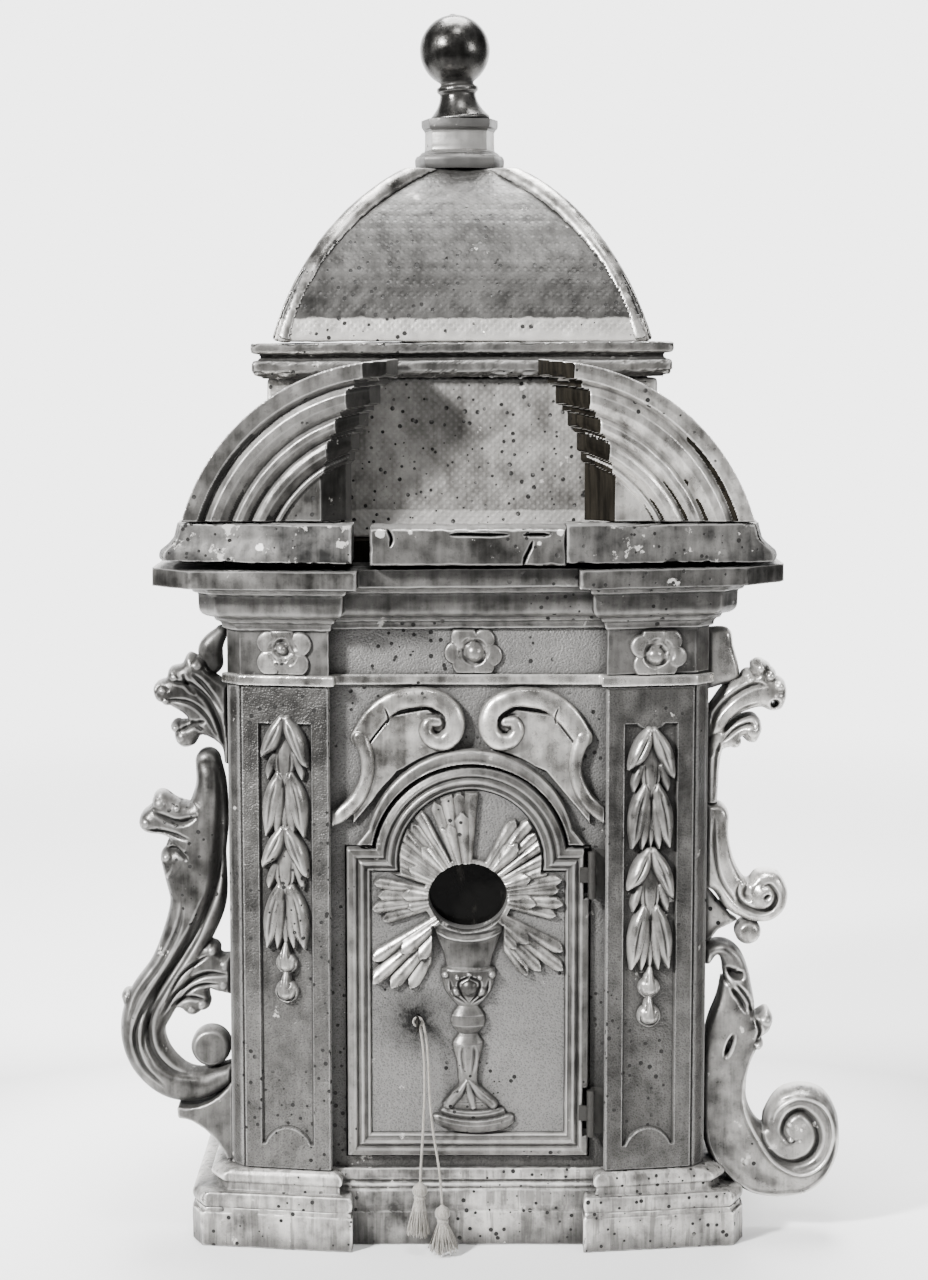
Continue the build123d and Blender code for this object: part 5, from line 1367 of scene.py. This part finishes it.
def twisted_tube(name, path, radius, strands=3, lay=0.0042, sides=18):
    """A twisted cord: its section is a ring of strands that turns along the path."""
    lengths = np.concatenate([[0], np.cumsum(np.linalg.norm(np.diff(path, axis=0), axis=1))])
    marks = np.linspace(0, lengths[-1], int(lengths[-1] / 0.0005))
    line = np.column_stack([np.interp(marks, lengths, path[:, i]) for i in range(3)])
    ways = np.gradient(line, axis=0)
    ways /= np.linalg.norm(ways, axis=1)[:, None]
    side = np.cross(ways, (0, 1, 0))
    side /= np.linalg.norm(side, axis=1)[:, None]
    up = np.cross(side, ways)
    points = []
    for mark, middle, a, b in zip(marks, line, side, up):
        for angle in np.arange(sides) * tau / sides:
            bulge = radius * (0.84 + 0.16 * abs(cos(strands / 2 * (angle + tau * mark / lay))))
            points.append(middle + bulge * (a * cos(angle) + b * sin(angle)))
    rings = len(marks)
    faces = [*ring_faces(rings, sides), ring(0, sides)[::-1], ring(rings - 1, sides)]
    return mesh_object(name, points, faces, 80)


def tassel(name, top, spread, skirt, lean, seed):
    """A bound head over a skirt of combed threads, each its own strand."""
    draw = np.random.default_rng(seed)
    x, y, z = top
    points = []
    sides = 28
    head = ((0.0, 1.2), (1.5, 2.4), (3.2, 4.6), (5.2, 5.4), (7.5, 5.5), (9.6, 4.9), (10.6, 3.7), (11.4, 4.3),
            (12.4, 4.5), (13.4, 4.2), (14.2, 3.8), (18, 4.4), (22, 5.2))
    for drop, radius in head:
        for k in range(sides):
            angle = tau * k / sides
            ripple = 1 + 0.05 * cos(14 * angle) * (drop < 10 or drop > 14)
            points.append((radius * ripple * cos(angle), radius * ripple * sin(angle), -drop))
    faces = [*ring_faces(len(head), sides), ring(0, sides), ring(len(head) - 1, sides)[::-1]]
    length = z - skirt
    for strand in range(190):
        angle = draw.uniform(0, tau)
        layer = draw.uniform(0.25, 1) ** 0.5
        end = spread * layer * draw.uniform(0.86, 1.0)
        reach = length * draw.uniform(0.9, 1.0)
        swing = draw.normal(0, 0.09)
        thick = draw.uniform(0.26, 0.42)
        base = len(points)
        rings = 9
        for r in range(rings):
            t = r / (rings - 1)
            radius = 3.4 * layer + (end - 3.4 * layer) * (t**1.15) + 0.5 * sin(pi * t)
            turn = angle + swing * t + 0.05 * sin(7 * t + strand)
            centre = (radius * cos(turn), radius * sin(turn), -13.2 - (reach - 13.2) * t)
            for k in range(5):
                around = tau * k / 5
                slim = thick * (1 - 0.35 * t)
                points.append((centre[0] + slim * cos(around), centre[1] + slim * sin(around), centre[2]))
        faces += ring_faces(rings, 5, base)
        faces += [ring(0, 5, base), ring(rings - 1, 5, base)[::-1]]
    turn = radians(lean)
    places = [at(x + px * cos(turn) + pz * sin(turn), y + py, z - px * sin(turn) + pz * cos(turn))
              for px, py, pz in points]
    return dress(mesh_object(name + "_threads", places, faces, 60), SILK, name)


def hitch():
    """The cord's loop round the key's neck, with a small knot."""
    points = []
    for turn in np.linspace(0, tau, 41)[:-1]:
        for k in np.arange(12) * tau / 12:
            radius = 3.3 + (0.84 + 0.16 * cos(3 * k + 8 * turn)) * cos(k)
            points.append(at(-38 + radius * cos(turn), -15 + 0.95 * sin(k), 178 + radius * sin(turn)))
    faces = [(r * 12 + k, r * 12 + (k + 1) % 12, (r + 1) % 40 * 12 + (k + 1) % 12, (r + 1) % 40 * 12 + k)
             for r in range(40) for k in range(12)]
    return dress(mesh_object("cord_hitch_loop", points, faces, 80), SILK, "cord_hitch")


def cords():
    loop = hitch()
    for side, route in TAILS.items():
        path = route_points(route)
        tail = dress(twisted_tube(f"cord_{side}", path, CORD / 2 * MM), SILK, f"cord_tail_{side}")
        spread, skirt, lean = TASSELS[side]
        end = tassel(f"tassel_{side}", route[-1], spread, skirt, lean, 80 + len(route))


cords()

# ---------------------------------------------------------------- everything together

leaf_scroll_left()
s_scroll_left()
leaf_scroll_right()
volute_middle_right()
volute_lower_right()
c_scroll(-1, "c_scroll_left")
c_scroll(1, "c_scroll_right")
festoon(-1, "festoon_left")
festoon(1, "festoon_right")
rosettes()
sun_rays()
chalice()

for side, hand in HANDS:
    pilaster(side, f"pilaster_{hand}")
    pediment(side, f"pediment_{hand}")
door_frame()
archivolt()
crown_middle()

mouldings()

# Other mouldings and boards: material, voxel, rounding, wobble and chips.
WORN = {
    "astragal": (LEAF_BRIGHT, 1.1, 5, 0.2, 0.3), "scroll_bracket_left": (LEAF, 1.4, 5, 0.2, 0.3),
    "drum": (LEAF_DRUM, 2.2, 3, 0.4, 0.5),
    "dome_front": (LEAF_DOME, 2.0, 6, 0.5, 0.3), "dome_back": (LEAF_DOME, 2.4, 6, 0.5, 0.3),
    "dome_sides": (LEAF_DOME, 2.2, 6, 0.5, 0.3), "dome_ribs": (LEAF_CARVED, 1.2, 4, 0.3, 0.4),
    "finial": (LEAF_BALL, 0.9, 3, 0.12, 0.0),
}
for number, (node, (material, voxel, rounding, wobble, chips)) in enumerate(WORN.items()):
    worn(node, material, voxel, rounding, wobble, chips, seed=100 + 5 * number)

# CAD nodes that stay, with a small bevel and their own material.
KEPT = {
    "front_board": LEAF_GROUND, "door_panel": LEAF_DOOR, "top_board": LEAF_SIDE, "side_panel_left": LEAF_SIDE,
    "side_panel_right": LEAF_SIDE, "back_panel": BACK_WOOD, "base_board": WOOD, "floor_board": WOOD,
    "crown_board": DARK_WOOD, "crown_dowels": WOOD, "glass_retainer": WOOD, "oculus_glass": GLASS,
    "lock_case": IRON, "lock_bolt": IRON,
    "hinge_leaves_door": IRON, "hinge_leaves_frame": IRON, "hinge_pins": IRON, "key": IRON,
}
for node, material in KEPT.items():
    kept = frame["nodes"][node]
    kept.data.materials.clear()
    kept.data.materials.append(material)
    bevel = kept.modifiers.new("bevel", "BEVEL")
    bevel.width = 0.0004 if material is IRON else 0.0012
    bevel.segments = 2
    bevel.limit_method = "ANGLE"
    bevel.angle_limit = radians(40)

# ---------------------------------------------------------------- studio


def floor():
    """Pale round floor, its light falling off towards the edge of the studio."""
    low = cad_box[0][2]
    ring = [(7 * cos(a), 7 * sin(a), low) for a in np.linspace(0, tau, 64, endpoint=False)]
    paper = mesh_object("floor", ring, [tuple(range(64))], 180)
    shader = Shader("floor_paper")
    weave = shader.noise(300, 3)
    length = shader.add("ShaderNodeVectorMath", {"operation": "LENGTH"}, i0=shader.stretched(1, 1, 1))
    away = length.outputs["Value"]
    behind = shader.place()["Y"]
    near = shader.math("MAXIMUM", shader.step(away, 0.75, 0.35), shader.step(behind, 0.0, 0.5))
    tone = shader.mix(near, grey(0.22, 0.0), grey(0.88, 0.0))
    shader.surface(Base_Color=tone, Roughness=0.9, Normal=shader.bump(weave, 0.0003, 0.3),
                   Alpha=shader.step(away, 2.6, 1.3))
    paper.data.materials.append(shader.material)


SKY = (0.55, 0.92, 0.16, 4.2)  # facing backwards from one share to another, from dim to bright


def sky():
    """A studio that is pale behind the object and dim in front of it."""
    world = bpy.data.worlds.new("studio")
    world.use_nodes = True
    tree = world.node_tree
    coords = tree.nodes.new("ShaderNodeTexCoord")
    parts = tree.nodes.new("ShaderNodeSeparateXYZ")
    ramp = tree.nodes.new("ShaderNodeMapRange")
    ramp.interpolation_type = "SMOOTHSTEP"
    for number, value in enumerate(SKY):
        ramp.inputs[number + 1].default_value = value
    tree.links.new(coords.outputs["Generated"], parts.inputs[0])
    tree.links.new(parts.outputs["Y"], ramp.inputs[0])
    background = tree.nodes["Background"]
    background.inputs["Color"].default_value = (1, 1, 1, 1)
    tree.links.new(ramp.outputs[0], background.inputs["Strength"])
    SCENE.world = world


def lamp(name, place, aim, size, power):
    """A soft square lamp turned towards a point."""
    light = bpy.data.objects.new(name, bpy.data.lights.new(name, "AREA"))
    light.data.size = size
    light.data.energy = power
    light.location = place
    light.rotation_euler = (Vector(aim) - Vector(place)).to_track_quat("-Z", "Y").to_euler()
    SCENE.collection.objects.link(light)


floor()
sky()
lamp("key", (-1.8, -1.8, 1.9), (0, 0, 0.5), 0.36, 260)
lamp("fill", (2.4, -1.6, 1.3), (0, 0, 0.45), 0.6, 30)
lamp("top", (0.2, -0.9, 2.6), (0, 0, 0.6), 0.5, 25)
lamp("floor_light", (0, 0.9, 3.0), (0, 0.8, 0), 1.6, 300)
